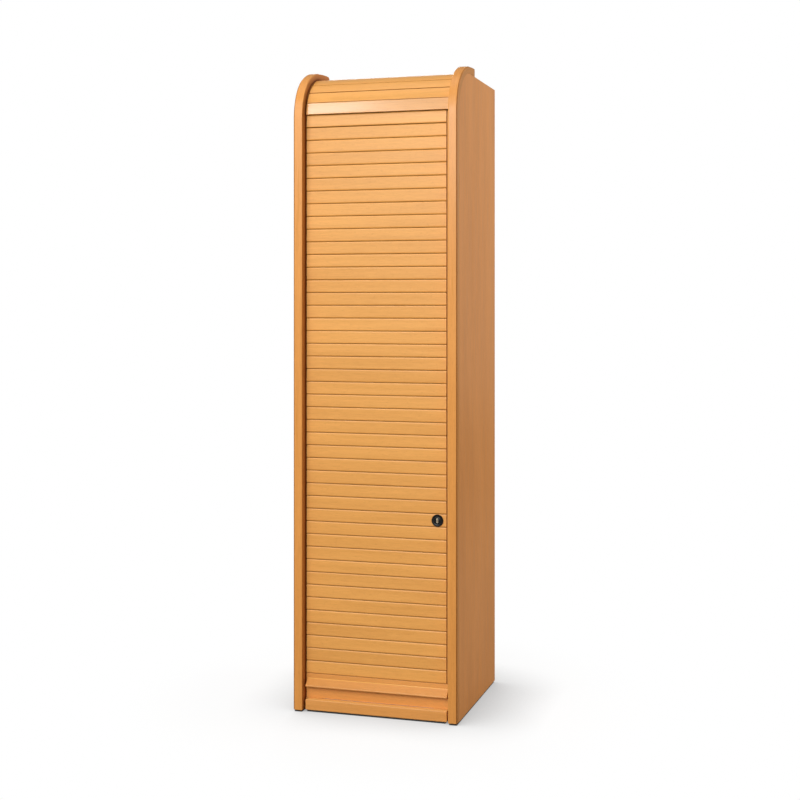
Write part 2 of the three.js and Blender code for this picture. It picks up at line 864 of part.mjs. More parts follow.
function lockCase() {
  const lock = new THREE.Group();
  lock.position.set(lockX, 0, lockZ);
  cabinet.add(lock);
  const bore = clearRadius(barrelRadius, fitGap, roundSides);
  const back = slatFromFront - fitGap;
  const dish = barAlongY(rosetteRadius - rosetteRim, rosetteFront - overrun, rosetteFront + rosetteRimHeight);
  place(lock, 'lock_rosette', cut(barAlongY(rosetteRadius, rosetteFront, back), [
    dish,
    barAlongY(bore, rosetteFront - overrun, back + overrun),
  ]), blackMetal);
  place(lock, 'lock_barrel', cut(barAlongY(barrelRadius, barrelFront, barrelBack), [
    barAlongY(clearRadius(plugRadius, fitGap, roundSides), barrelFront - overrun, barrelBack + overrun),
  ]), blackMetal);
  place(lock, 'lock_nut', cut(barAlongY(nutAcrossCorners / 2, nutFront, nutFront + nutThickness, nutSides), [
    barAlongY(bore, nutFront - overrun, nutFront + nutThickness + overrun),
  ]), zinc);
  const keyway = block(
    -keywayWidth / 2, keywayWidth / 2, barrelFront - overrun, barrelFront + plugRecess + keywayDepth,
    -keywayHeight / 2, keywayHeight / 2,
  );
  const plug = join([
    barAlongY(plugRadius, barrelFront + plugRecess, barrelBack + camGap / 2),
    barAlongY(shankRadius, barrelBack, camBack, screwSides),
  ]);
  place(lock, 'lock_plug', cut(plug, [keyway, camScrewPilot()]), brass);
  const shankBore = clearRadius(shankRadius, fitGap, screwSides);
  place(lock, 'lock_cam', cut(camPlate(), [
    barAlongY(shankBore, camFront - overrun, camBack + overrun, screwSides),
  ]), zinc);
  const screw = join([
    barAlongY(smallScrewRadius, camBack - camScrewReach, camBack + screwHeadHeight / 2 + fitGap, screwSides),
    barAlongY(screwHeadRadius, camBack + fitGap, lockBack, screwSides),
  ]);
  place(lock, 'cam_screw', screw, zinc);
}

function camScrewPilot() {
  const radius = clearRadius(smallScrewRadius, fitGap, screwSides);
  return barAlongY(radius, camBack - camScrewReach - fitGap, camBack + overrun, screwSides);
}

// The cam hangs down from the lock's axis while the door is free
function camPlate() {
  const half = camWidth / 2;
  const tip = camLength - half;
  const outline = [];
  const steps = roundSides / 2;
  for (let i = 0; i <= steps; i += 1) {
    const angle = halfTurn * i / steps;
    outline.push([half * Math.cos(angle), half * Math.sin(angle)]);
  }
  for (let i = 0; i <= steps; i += 1) {
    const angle = halfTurn + halfTurn * i / steps;
    outline.push([half * Math.cos(angle), -tip + half * Math.sin(angle)]);
  }
  return prismAlongY(outline, camFront, camBack);
}

// Strike bracket on the right side board

function strikeFront() {
  return endRailBack + strikeBehindDoor;
}

function strikeMiddle() {
  return strikeFront() + strikePlateDepth / 2;
}

function strikeTabUnderside() {
  return lockZ + camWidth / 2 + strikeTabAboveCam;
}

function strikeScrewHeights() {
  const reach = strikePlateHeight / 2 - strikeScrewFromEnd;
  return [strikeTabUnderside() - reach, strikeTabUnderside() + reach];
}

function strike() {
  const face = strikeFace;
  const inner = face - strikeThickness;
  const tab = strikeTabUnderside();
  const outline = [
    [face, tab - strikePlateHeight / 2],
    [face, tab + strikePlateHeight / 2],
    [inner, tab + strikePlateHeight / 2],
    [inner, tab + strikeThickness],
    [face - strikeTabLength, tab + strikeThickness],
    [face - strikeTabLength, tab],
    [inner, tab],
    [inner, tab - strikePlateHeight / 2],
  ];
  const holeRadius = clearRadius(smallScrewRadius, fitGap, screwSides);
  const holes = strikeScrewHeights().map((z) => {
    const bore = barAlongX(holeRadius, inner - overrun, face + overrun, screwSides);
    return bore.translate(0, strikeMiddle(), z);
  });
  const plate = cut(prismAlongY(outline, strikeFront(), strikeFront() + strikePlateDepth), holes);
  place(cabinet, 'strike_bracket', plate, zinc);
  const screw = join([
    barAlongX(smallScrewRadius, 0, smallScrewLength - fitGap, screwSides),
    barAlongX(smallScrewHeadRadius, -screwHeadHeight, 0, screwSides),
    barAlongX(smallScrewRadius, -screwHeadHeight / 2, fitGap, screwSides),
  ]);
  strikeScrewHeights().forEach((z, i) => {
    place(cabinet, `strike_screw_${i + 1}`, screw, zinc, inner - fitGap, strikeMiddle(), z);
  });
}

sideBoard('side_board_left', -1);
sideBoard('side_board_right', 1);
edging('edging_left', -1);
edging('edging_right', 1);
horizontalBoards();
backPanel();
rearRail();
backScrews();
plinthRail();
floorStrips();
header();
curvedCover();
coverBlocks();
doorStops();
shelfPins();
curtain();
endRail();
grip();
gripScrews();
lockCase();
strike();

export default cabinet;
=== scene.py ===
import json
import math

import bmesh
import bpy
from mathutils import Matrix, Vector
from mathutils.kdtree import KDTree


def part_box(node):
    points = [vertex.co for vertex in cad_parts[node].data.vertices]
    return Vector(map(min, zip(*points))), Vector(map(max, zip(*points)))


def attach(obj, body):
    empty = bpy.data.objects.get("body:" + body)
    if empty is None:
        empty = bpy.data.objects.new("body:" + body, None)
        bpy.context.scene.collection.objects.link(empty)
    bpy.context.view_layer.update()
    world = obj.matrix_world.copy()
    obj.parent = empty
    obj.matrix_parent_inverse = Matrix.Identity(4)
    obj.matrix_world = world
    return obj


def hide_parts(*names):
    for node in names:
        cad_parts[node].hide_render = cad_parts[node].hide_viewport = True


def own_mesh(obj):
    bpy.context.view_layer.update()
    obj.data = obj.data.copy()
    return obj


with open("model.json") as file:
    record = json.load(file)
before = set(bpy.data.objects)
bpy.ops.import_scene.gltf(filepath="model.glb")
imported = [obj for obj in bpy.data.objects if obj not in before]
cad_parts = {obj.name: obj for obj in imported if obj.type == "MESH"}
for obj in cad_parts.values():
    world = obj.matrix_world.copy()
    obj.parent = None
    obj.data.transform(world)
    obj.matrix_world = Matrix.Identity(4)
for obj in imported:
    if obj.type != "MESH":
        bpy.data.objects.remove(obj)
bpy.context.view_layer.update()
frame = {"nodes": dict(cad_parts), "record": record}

bl_info = {
    "name": "Tambour Door Cabinet",
    "version": (1, 0, 0),
    "blender": (4, 5, 0),
    "location": "3D View > Sidebar > Cabinet",
    "description": "Makes a tall beech cabinet with a tambour door around its packed frame",
    "category": "Object",
}

MM = 0.001
QUARTER = math.pi / 2
SIDES = (("left", -1), ("right", 1))
# How far the point beside a rounding stands from the corner, in radii of the rounding
FLANK = 1.4
# Room for inaccuracy where vertices are chosen by their place
HAIR = 0.1 * MM

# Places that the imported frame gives, in metres
SIDE_LOW, SIDE_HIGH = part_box("side_board_right")
EDGING_LOW, EDGING_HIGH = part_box("edging_right")
END_LOW, END_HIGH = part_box("end_rail")
GRIP_LOW, GRIP_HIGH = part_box("grip_strip")
PLINTH_LOW, PLINTH_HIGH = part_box("plinth_rail")
ROSETTE_LOW, ROSETTE_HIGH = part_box("lock_rosette")
BARREL_LOW, BARREL_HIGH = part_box("lock_barrel")
PLUG_LOW, PLUG_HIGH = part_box("lock_plug")
PIN_LOW, PIN_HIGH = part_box("shelf_1_pin_1")
CURTAIN_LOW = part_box("tambour_curtain")[0]
HEADER_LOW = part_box("header_rail")[0]
COVER_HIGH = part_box("curved_cover")[1]
# The right side board's inner face, the edgings' front and the middle of the lock
INNER = SIDE_LOW.x
FRONT = EDGING_LOW.y
LOCK_X = (ROSETTE_LOW.x + ROSETTE_HIGH.x) / 2
LOCK_Z = (ROSETTE_LOW.z + ROSETTE_HIGH.z) / 2
BARREL_RADIUS = (BARREL_HIGH.x - BARREL_LOW.x) / 2
PIN_RADIUS = (PIN_HIGH.z - PIN_LOW.z) / 2


def length_value(name, description, millimetres):
    """A size for the sidebar, in metres, with its default in millimetres."""
    return bpy.props.FloatProperty(
        name=name, description=description, default=millimetres * MM, min=0,
        unit="LENGTH", subtype="DISTANCE",
    )


def linear(hex_colour):
    """An sRGB hex colour as the linear values that Blender works in."""
    channels = [int(hex_colour[i:i + 2], 16) / 255 for i in (1, 3, 5)]
    straight = [c / 12.92 if c <= 0.04045 else ((c + 0.055) / 1.055) ** 2.4 for c in channels]
    return (*straight, 1.0)


def colour_value(name, description, hex_colour):
    """A colour for the sidebar."""
    return bpy.props.FloatVectorProperty(
        name=name, description=description, default=linear(hex_colour), size=4, min=0, max=1,
        subtype="COLOR",
    )


class CabinetSizes(bpy.types.PropertyGroup):
    edging_radius: length_value("Edging radius", "Outer radius of the rounded top front edge", 125)
    edging_corner: length_value("Edging corner", "Radius of the edging's outer front corner", 3.5)
    edging_inner_corner: length_value("Edging inner corner", "Its radius at the door", 2)
    slat_pitch: length_value("Slat pitch", "Height of one slat with its groove", 30)
    slat_thickness: length_value("Slat thickness", "Front to back size of a slat", 10)
    slat_gap_left: length_value("Slat gap left", "Room at the slats' left shoulder", 1.8)
    slat_gap_right: length_value("Slat gap right", "Room at the slats' right shoulder", 10.3)
    groove_width: length_value("Groove width", "Width of the groove between two slats", 3.2)
    groove_depth: length_value("Groove depth", "Depth of the groove between two slats", 3.4)
    track_width: length_value("Track width", "Width of the track that the slats run in", 7)
    track_depth: length_value("Track depth", "Depth of the track in the side boards", 8)
    bend_radius: length_value("Track bend radius", "Middle radius of the track's bends", 78)
    bend_start: length_value("Track bend start", "Height at which the track starts to bend", 1385)
    track_rear: length_value("Track at the rear", "Its distance from the front edge", 355)
    track_end: length_value("Track end", "Height at which the rear track ends", 120)
    cover_thickness: length_value("Cover thickness", "Thickness of the cover and the header", 4)
    cover_groove_width: length_value("Cover groove width", "Width of the cover's grooves", 2.4)
    cover_groove_depth: length_value("Cover groove depth", "Depth of the cover's grooves", 1.6)
    rosette_rim: length_value("Rosette rim", "Width of the rosette's raised rim", 1.8)
    core_width: length_value("Lock core width", "Width of the oblong core in the plug", 4.6)
    core_height: length_value("Lock core height", "Height of the oblong core in the plug", 11)
    keyway_width: length_value("Keyway width", "Width of the keyway", 1.9)
    keyway_height: length_value("Keyway height", "Height of the keyway", 7.6)


class CabinetColours(bpy.types.PropertyGroup):
    slats: colour_value("Slats", "Lacquered beech slats", "#EBAA5A")
    solid: colour_value("Solid beech", "Lacquered edging", "#E79F51")
    rails: colour_value("Rails", "Lacquered plinth, header, end rail and grip", "#E6A054")
    veneer: colour_value("Veneer", "Lacquered beech veneer", "#F2A65F")
    board: colour_value("Back board", "Thin printed fibreboard", "#D9B98E")
    black: colour_value("Lock", "Black plated die casting", "#1E2224")
    core: colour_value("Lock core", "Nickel plated brass", "#D2C6AC")
    zinc: colour_value("Zinc", "Zinc plated steel", "#B9BCC0")
    plastic: colour_value("Plastic", "Moulded floor strips", "#2A2C2B")
    rubber: colour_value("Rubber", "Rubber stops", "#202020")
    floor: colour_value("Floor", "Studio floor", "#F4F4F4")


def sizes():
    """The sizes in the sidebar."""
    return bpy.context.scene.cabinet_sizes


def colours():
    """The colours in the sidebar."""
    return bpy.context.scene.cabinet_colours


def add(tree, kind, inputs=None, ramp=(), **settings):
    """Adds a node with its settings, sets or links its inputs, and sets the ends of its ramp."""
    made = tree.nodes.new(kind)
    for name, value in settings.items():
        setattr(made, name, value)
    for key, value in (inputs or {}).items():
        if isinstance(value, bpy.types.NodeSocket):
            tree.links.new(value, made.inputs[key])
        else:
            made.inputs[key].default_value = value
    for i, (position, colour) in enumerate(ramp):
        made.color_ramp.elements[i].position = position
        made.color_ramp.elements[i].color = colour
    return made


# Materials


def empty_tree(owner):
    """The node tree of a material or a world, with no nodes in it."""
    owner.use_nodes = True
    owner.node_tree.nodes.clear()
    return owner.node_tree


def new_material(name):
    """A node material with its Principled shader and output."""
    material = bpy.data.materials.new(name)
    tree = empty_tree(material)
    shader = add(tree, "ShaderNodeBsdfPrincipled")
    add(tree, "ShaderNodeOutputMaterial", {"Surface": shader.outputs["BSDF"]})
    return material, tree, shader


def stretched_noise(tree, place, across, along, axis, detail):
    """Noise whose grains are across wide and along long, in millimetres, along the given axis."""
    stretch = [1 / (across * MM)] * 3
    stretch[axis] = 1 / (along * MM)
    scaled = add(tree, "ShaderNodeVectorMath", {0: place, 1: stretch}, operation="MULTIPLY")
    noise = {"Vector": scaled.outputs[0], "Scale": 1.0, "Detail": detail}
    return add(tree, "ShaderNodeTexNoise", noise).outputs["Fac"]


def weighed(tree, parts):
    """Half plus the sum of each noise's departure from a half times its weight."""
    total = 0.5
    for noise, weight in parts:
        off = add(tree, "ShaderNodeMath", {0: noise, 1: 0.5}, operation="SUBTRACT").outputs[0]
        terms = {0: off, 1: weight, 2: total}
        total = add(tree, "ShaderNodeMath", terms, operation="MULTIPLY_ADD").outputs[0]
    return total


def tinted(colour, factor, warmth=0.0):
    """The colour made lighter or darker, with a little more or less red against blue."""
    shares = (1, 1 - warmth, 1 - 2 * warmth)
    return (*(min(1, channel * factor * share) for channel, share in zip(colour, shares)), 1.0)


def lacquered_beech(name, colour, axis, own_grain=False, by_slat=False, painted_shading=False,
                    contrast=1.0, sheen=0.5, rough=0.36):
    """Steamed beech under a satin lacquer: fine straight grain, short darker ray flecks and slow
    changes of tone, with a soft sheen. The flecks are drawn about three times too coarse, so that
    they show at this distance."""
    material, tree, shader = new_material(name)
    if own_grain:
        place = add(tree, "ShaderNodeAttribute", attribute_name="grain").outputs["Vector"]
    else:
        place = add(tree, "ShaderNodeTexCoord").outputs["Object"]
    clouds = stretched_noise(tree, place, 60, 420, axis, 3.0)
    growth = stretched_noise(tree, place, 9, 260, axis, 3.0)
    pores = stretched_noise(tree, place, 1.6, 30, axis, 2.0)
    flecks = stretched_noise(tree, place, 2.2, 7, axis, 1.0)
    parts = [(clouds, 0.5 * contrast), (growth, 0.5 * contrast), (pores, 0.6 * contrast)]
    if by_slat:
        tone = add(tree, "ShaderNodeAttribute", attribute_name="slat_tone").outputs["Fac"]
        parts.append((tone, 0.14))
    value = weighed(tree, parts)
    ends = [(0.15, tinted(colour, 0.84, 0.05)), (0.85, tinted(colour, 1.1, -0.02))]
    wood = add(tree, "ShaderNodeValToRGB", {"Fac": value}, ramp=ends).outputs["Color"]
    spots = add(tree, "ShaderNodeMapRange", {
        "Value": flecks, "From Min": 0.6, "From Max": 0.74, "To Min": 0.0, "To Max": 0.2,
    }).outputs["Result"]
    roughness = add(tree, "ShaderNodeMapRange", {
        "Value": growth, "From Min": 0.3, "From Max": 0.7,
        "To Min": rough - 0.05, "To Max": rough + 0.05,
    }).outputs["Result"]
    layers = [(spots, tinted(colour, 0.66, 0.1))]
    if painted_shading:
        # Painted shade, darker and with duller lacquer, where the groove attribute is above zero,
        # and a painted highlight, paler, where it is below zero
        groove = add(tree, "ShaderNodeAttribute", attribute_name="groove").outputs["Fac"]
        painted_highlight = add(
            tree, "ShaderNodeMath", {0: groove, 1: -1.0}, operation="MULTIPLY", use_clamp=True
        ).outputs[0]
        layers += [(groove, tinted(colour, 0.25, 0.48)), (painted_highlight, tinted(colour, 1.5, -0.1))]
        duller = {0: groove, 1: 0.5, 2: roughness}
        roughness = add(
            tree, "ShaderNodeMath", duller, operation="MULTIPLY_ADD", use_clamp=True
        ).outputs[0]
    for share, tint in layers:
        mix = {"Factor": share, "A": wood, "B": tint}
        wood = add(tree, "ShaderNodeMix", mix, data_type="RGBA").outputs["Result"]
    bump = add(tree, "ShaderNodeBump", {"Height": pores, "Strength": 0.25, "Distance": 0.05 * MM})
    tree.links.new(wood, shader.inputs["Base Color"])
    tree.links.new(roughness, shader.inputs["Roughness"])
    tree.links.new(bump.outputs["Normal"], shader.inputs["Normal"])
    shader.inputs["Specular IOR Level"].default_value = sheen
    return material


def printed_fibreboard(name, colour):
    """Thin fibreboard with a pale beech print: flat and matt, with long faint upright streaks."""
    material, tree, shader = new_material(name)
    place = add(tree, "ShaderNodeTexCoord").outputs["Object"]
    streaks = stretched_noise(tree, place, 7, 300, 2, 3.0)
    clouds = stretched_noise(tree, place, 80, 500, 2, 2.0)
    value = weighed(tree, [(streaks, 0.8), (clouds, 0.6)])
    ends = [(0.0, tinted(colour, 0.85, 0.03)), (1.0, tinted(colour, 1.08))]
    inks = add(tree, "ShaderNodeValToRGB", {"Fac": value}, ramp=ends)
    tree.links.new(inks.outputs["Color"], shader.inputs["Base Color"])
    shader.inputs["Roughness"].default_value = 0.6
    return material


def plain_finish(name, colour, roughness, metallic, grain, depth):
    """A finish of one colour with a fine cast, moulded or plated surface. Its grain and the depth
    of its relief are in millimetres."""
    material, tree, shader = new_material(name)
    place = add(tree, "ShaderNodeTexCoord").outputs["Object"]
    speckle = stretched_noise(tree, place, grain, grain, 0, 3.0)
    ends = [(0.3, tinted(colour, 0.9)), (0.7, tinted(colour, 1.1))]
    coat = add(tree, "ShaderNodeValToRGB", {"Fac": speckle}, ramp=ends)
    bump = add(tree, "ShaderNodeBump", {"Height": speckle, "Strength": 0.3, "Distance": depth * MM})
    tree.links.new(coat.outputs["Color"], shader.inputs["Base Color"])
    tree.links.new(bump.outputs["Normal"], shader.inputs["Normal"])
    shader.inputs["Roughness"].default_value = roughness
    shader.inputs["Metallic"].default_value = metallic
    return material


def make_materials():
    """All finishes of the cabinet, each named for what the real one is."""
    tone = colours()
    return {
        "slats": lacquered_beech(
            "lacquered_beech_slats", tone.slats, 0, by_slat=True, painted_shading=True, sheen=0.35
        ),
        "upright": lacquered_beech(
            "lacquered_solid_beech_upright", tone.solid, 2, own_grain=True, painted_shading=True,
            sheen=0.35, rough=0.31,
        ),
        "across": lacquered_beech("lacquered_solid_beech_across", tone.rails, 0, painted_shading=True),
        "header": lacquered_beech(
            "lacquered_header_rail", tinted(tone.rails, 0.9, -0.08), 0, painted_shading=True,
            sheen=0.75, rough=0.2,
        ),
        "veneer_upright": lacquered_beech(
            "beech_veneer_upright", tone.veneer, 2, painted_shading=True, contrast=1.2, sheen=0.25
        ),
        "veneer_across": lacquered_beech(
            "beech_veneer_across", tone.veneer, 0, contrast=1.2, sheen=0.25
        ),
        "board": printed_fibreboard("printed_fibreboard", tone.board),
        # Black plated zinc die casting: satin, with soft highlights on its rims
        "lock": plain_finish("black_plated_die_casting", tone.black, 0.32, 0.5, 0.6, 0.02),
        # Nickel plated brass: a warm grey glint
        "core": plain_finish("nickel_plated_brass", tone.core, 0.35, 0.35, 0.5, 0.01),
        # Bright zinc plating: pale and slightly cloudy
        "zinc": plain_finish("zinc_plated_steel", tone.zinc, 0.34, 1.0, 1.5, 0.02),
        # Moulded plastic: dark with a fine texture
        "plastic": plain_finish("moulded_plastic", tone.plastic, 0.55, 0.0, 0.8, 0.04),
        # Moulded rubber: matt and black
        "rubber": plain_finish("moulded_rubber", tone.rubber, 0.85, 0.0, 0.8, 0.04),
    }


MATERIALS = {}

# The finish that a kept frame node gets from its slot in the record
SLOT_FINISHES = {
    "beech_veneer": "veneer_across",
    "solid_beech": "across",
    "beech_slats": "slats",
    "back_board": "board",
    "black_plastic": "plastic",
    "stop_rubber": "rubber",
    "zinc_steel": "zinc",
    "black_lock": "lock",
    "brass_core": "core",
}


# Shapes


def new_object(name, data):
    """An object in the scene that holds the given data."""
    piece = bpy.data.objects.new(name, data)
    bpy.context.scene.collection.objects.link(piece)
    return piece


def sharpen(piece, degrees):
    """Keeps those edges sharp where two faces meet above an angle."""
    piece.data.set_sharp_from_angle(angle=math.radians(degrees))


def new_piece(name, points, faces, smooth_below=35):
    """A closed mesh as a piece of the scene, smooth where its faces meet below an angle."""
    mesh = bpy.data.meshes.new(name)
    mesh.from_pydata(points, [], faces)
    work = bmesh.new()
    work.from_mesh(mesh)
    bmesh.ops.remove_doubles(work, verts=work.verts, dist=1e-6)
    bmesh.ops.recalc_face_normals(work, faces=work.faces)
    work.to_mesh(mesh)
    work.free()
    mesh.shade_smooth()
    piece = new_object(name, mesh)
    sharpen(piece, smooth_below)
    return piece


def settle(piece, material, body, slot, *nodes):
    """Gives a finished piece its material and body, and hides the frame nodes it stands for. Its
    slot is not used.
    """
    if material and not piece.data.materials:
        piece.data.materials.append(MATERIALS[material])
    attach(piece, body)
    if nodes:
        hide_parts(*nodes)


def spread(first, last, steps):
    """Values from the first to the last, in equal steps."""
    return [first + (last - first) * i / steps for i in range(steps + 1)]


def swept(rings, closed=False):
    """Points and faces of a body through rings with equal numbers of points. Its ends are capped,
    or else its last ring joins the first one."""
    rows, count = len(rings), len(rings[0])
    faces = []
    for row in range(rows if closed else rows - 1):
        near, far = row * count, (row + 1) % rows * count
        for i in range(count):
            j = (i + 1) % count
            faces.append((near + i, near + j, far + j, far + i))
    if not closed:
        faces.append(tuple(range(count)))
        faces.append(tuple((rows - 1) * count + i for i in reversed(range(count))))
    return [point for ring in rings for point in ring], faces


def rectangle(front, bottom, back, top):
    """The corners of a rectangle in (y, z)."""
    return [(front, bottom), (front, top), (back, top), (back, bottom)]


def rounded(corners, radius, steps=4):
    """The outline with its corners rounded. A corner may carry a radius of its own as a third
    value. A point beside each rounding keeps the long flat faces flat in the light."""
    outline = []
    count = len(corners)
    for i, corner in enumerate(corners):
        own = corner[2] if len(corner) > 2 else radius
        here = Vector(corner[:2])
        if own <= 0:
            outline.append(tuple(here))
            continue
        before = (Vector(corners[i - 1][:2]) - here).normalized() * own
        after = (Vector(corners[(i + 1) % count][:2]) - here).normalized() * own
        turn = [here + before * (1 - t) ** 2 + after * t ** 2 for t in spread(0, 1, steps)]
        outline += [tuple(p) for p in (here + before * FLANK, *turn, here + after * FLANK)]
    return outline


def inset(outline, distance):
    """The outline moved inwards by a distance, whichever way round it runs."""
    pairs = [(outline[i - 1], here) for i, here in enumerate(outline)]
    side = 1 if sum(a[0] * b[1] - b[0] * a[1] for a, b in pairs) > 0 else -1
    normals = []
    for before, here in pairs:
        along = Vector(here) - Vector(before)
        normals.append(Vector((-along.y, along.x)).normalized() * side)
    moved = []
    for i, here in enumerate(outline):
        a, b = normals[i], normals[(i + 1) % len(outline)]
        moved.append(tuple(Vector(here) + (a + b) * (distance / (1 + a.dot(b)))))
    return moved


def prism(name, outline, low, high, soft=0, steps=2, smooth_below=35):
    """A body with an outline in (y, z) drawn out along x, whose end edges may be softened."""
    turns = [(0, 0)]
    if soft > 0:
        angles = spread(0, QUARTER, steps)
        turns = [(soft * (1 - math.cos(a)), soft * (1 - math.sin(a))) for a in angles]
        turns = [(0, soft * 1.25), *turns, (soft * FLANK, 0)]
    rings = [[(low + x, y, z) for y, z in inset(outline, d)] for x, d in turns]
    rings += [[(high - x, y, z) for y, z in inset(outline, d)] for x, d in reversed(turns)]
    return new_piece(name, *swept(rings), smooth_below)


def turned(name, profile, centre, sides=48, hollow=False):
    """A body turned about an axis along y through centre (x, z), from a profile of (radius, y)."""
    x, z = centre
    angles = spread(0, 2 * math.pi, sides)[:-1]
    rings = [
        [(x + radius * math.cos(a), y, z + radius * math.sin(a)) for a in angles]
        for radius, y in profile
    ]
    return new_piece(name, *swept(rings, hollow))


def plain_mesh(piece):
    """Turns the piece's evaluated shape into its own plain mesh and takes its modifiers off."""
    graph = bpy.context.evaluated_depsgraph_get()
    mesh = bpy.data.meshes.new_from_object(piece.evaluated_get(graph))
    piece.modifiers.clear()
    piece.data = mesh


def discard(*pieces):
    """Takes helper objects out of the file."""
    for piece in pieces:
        bpy.data.objects.remove(piece)


def combine(piece, other, operation="DIFFERENCE"):
    """Cuts the other shape out of the piece, or joins it on, and discards it."""
    modifier = piece.modifiers.new("combine", "BOOLEAN")
    modifier.operation = operation
    modifier.object = other
    plain_mesh(piece)
    discard(other)


def paint_shade_and_highlight(piece, amount_at):
    """Paints light and shade into the lacquer's colour at each vertex by the amount for its place:
    above zero it is darker, a painted shade, and below zero lighter, a painted highlight."""
    marks = piece.data.attributes.new("groove", "FLOAT", "POINT")
    for i, vertex in enumerate(piece.data.vertices):
        marks.data[i].value = amount_at(vertex.co)


def node_middle(name):
    """The middle of a frame node's box."""
    low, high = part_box(name)
    return (low + high) / 2


def cover_radius():
    """Outer radius of the curved cover and of the side boards' rounded corner."""
    return sizes().edging_radius - (SIDE_LOW.y - FRONT)


def bend_centre():
    """Middle of the rounded front edge, as (y, z)."""
    return FRONT + sizes().edging_radius, SIDE_HIGH.z - cover_radius()


def on_arc(centre, radius, angle):
    """A point on an arc and the way out from it: angle 0 is to the front, a quarter turn is up."""
    out = (-math.cos(angle), math.sin(angle))
    return (centre[0] + radius * out[0], centre[1] + radius * out[1]), out


def on_bend(radius, angle):
    """A point on the rounded front edge."""
    return on_arc(bend_centre(), radius, angle)[0]


def strip(stations, near, far):
    """The outline between two distances outwards from stations, each a point and its way out."""
    outline = [(p[0] + out[0] * near, p[1] + out[1] * near) for p, out in stations]
    return outline + [(p[0] + out[0] * far, p[1] + out[1] * far) for p, out in reversed(stations)]


# Geometry node trees


def new_tree(name, sockets):
    """A modifier tree with its named inputs and one geometry output."""
    tree = bpy.data.node_groups.new(name, "GeometryNodeTree")
    tree.is_modifier = True
    for socket_name, kind in [("Geometry", "NodeSocketGeometry"), *sockets]:
        tree.interface.new_socket(socket_name, in_out="INPUT", socket_type=kind)
    tree.interface.new_socket("Geometry", in_out="OUTPUT", socket_type="NodeSocketGeometry")
    return tree, add(tree, "NodeGroupInput").outputs


def end_tree(tree, geometry, material):
    """Ends a tree with real geometry that has its material."""
    real = add(tree, "GeometryNodeRealizeInstances", {"Geometry": geometry}).outputs[0]
    dressed = add(tree, "GeometryNodeSetMaterial", {"Geometry": real, "Material": material})
    add(tree, "NodeGroupOutput", {0: dressed.outputs[0]})
    return tree


def run_tree(piece, tree, **values):
    """Puts a tree on a piece, sets its inputs by their identifiers and keeps the result as a
    plain mesh."""
    modifier = piece.modifiers.new(tree.name, "NODES")
    modifier.node_group = tree
    items = tree.interface.items_tree
    named = {item.name: item.identifier for item in items if item.in_out == "INPUT"}
    for name, value in values.items():
        modifier[named[name.replace("_", " ").capitalize()]] = value
    piece.update_tag()
    bpy.context.view_layer.update()
    plain_mesh(piece)


def slat_tree():
    """Copies of one slat up the front and round the bend, each with a tone of its own."""
    number, real = "NodeSocketInt", "NodeSocketFloat"
    tree, given = new_tree("slats_along_track", [
        ("First", number), ("Count", number), ("Pitch", real), ("Bottom", real),
        ("Bend start", real), ("Bend radius", real), ("Bend centre", real),
        ("Material", "NodeSocketMaterial"),
    ])
    known = dict(given.items())
    known["own index"] = add(tree, "GeometryNodeInputIndex").outputs[0]
    # Each step of a slat's place along the track: result, operation, terms
    steps = [
        ("index", "ADD", "own index", "First"),
        ("middle", "ADD", "index", 0.5),
        ("length", "MULTIPLY_ADD", "middle", "Pitch", "Bottom"),
        ("over", "SUBTRACT", "length", "Bend start"),
        ("past", "MAXIMUM", "over", 0.0),
        ("angle", "DIVIDE", "past", "Bend radius"),
        ("cosine", "COSINE", "angle"),
        ("reach", "MULTIPLY", "cosine", "Bend radius"),
        ("y", "SUBTRACT", "Bend centre", "reach"),
        ("straight", "MINIMUM", "length", "Bend start"),
        ("sine", "SINE", "angle"),
        ("z", "MULTIPLY_ADD", "sine", "Bend radius", "straight"),
        ("lean", "MULTIPLY", "angle", -1.0),
    ]
    for result, operation, *terms in steps:
        inputs = {i: known.get(term, term) for i, term in enumerate(terms)}
        known[result] = add(tree, "ShaderNodeMath", inputs, operation=operation).outputs[0]
    place = add(tree, "ShaderNodeCombineXYZ", {"Y": known["y"], "Z": known["z"]}).outputs[0]
    turn = add(tree, "ShaderNodeCombineXYZ", {"X": known["lean"]}).outputs[0]
    points = add(tree, "GeometryNodePoints", {"Count": given["Count"], "Position": place})
    copies = add(tree, "GeometryNodeInstanceOnPoints", {
        "Points": points.outputs[0], "Instance": given["Geometry"], "Rotation": turn,
    })
    tone = add(
        tree, "FunctionNodeRandomValue", {"ID": known["index"], "Seed": 4}, data_type="FLOAT"
    )
    toned = add(tree, "GeometryNodeStoreNamedAttribute", {
        "Geometry": copies.outputs[0], "Name": "slat_tone", "Value": tone.outputs[1],
    }, data_type="FLOAT", domain="INSTANCE")
    return end_tree(tree, toned.outputs[0], given["Material"])


def copies_tree():
    """Copies of a template at every vertex of the mesh, turned by each vertex's own angles."""
    tree, given = new_tree("copies_at_places", [
        ("Template", "NodeSocketObject"), ("Material", "NodeSocketMaterial"),
    ])
    template = add(tree, "GeometryNodeObjectInfo", {"Object": given["Template"]})
    turn = add(
        tree, "GeometryNodeInputNamedAttribute", {"Name": "turn"}, data_type="FLOAT_VECTOR"
    )
    copies = add(tree, "GeometryNodeInstanceOnPoints", {
        "Points": given["Geometry"], "Instance": template.outputs["Geometry"],
        "Rotation": turn.outputs[0],
    })
    return end_tree(tree, copies.outputs[0], given["Material"])


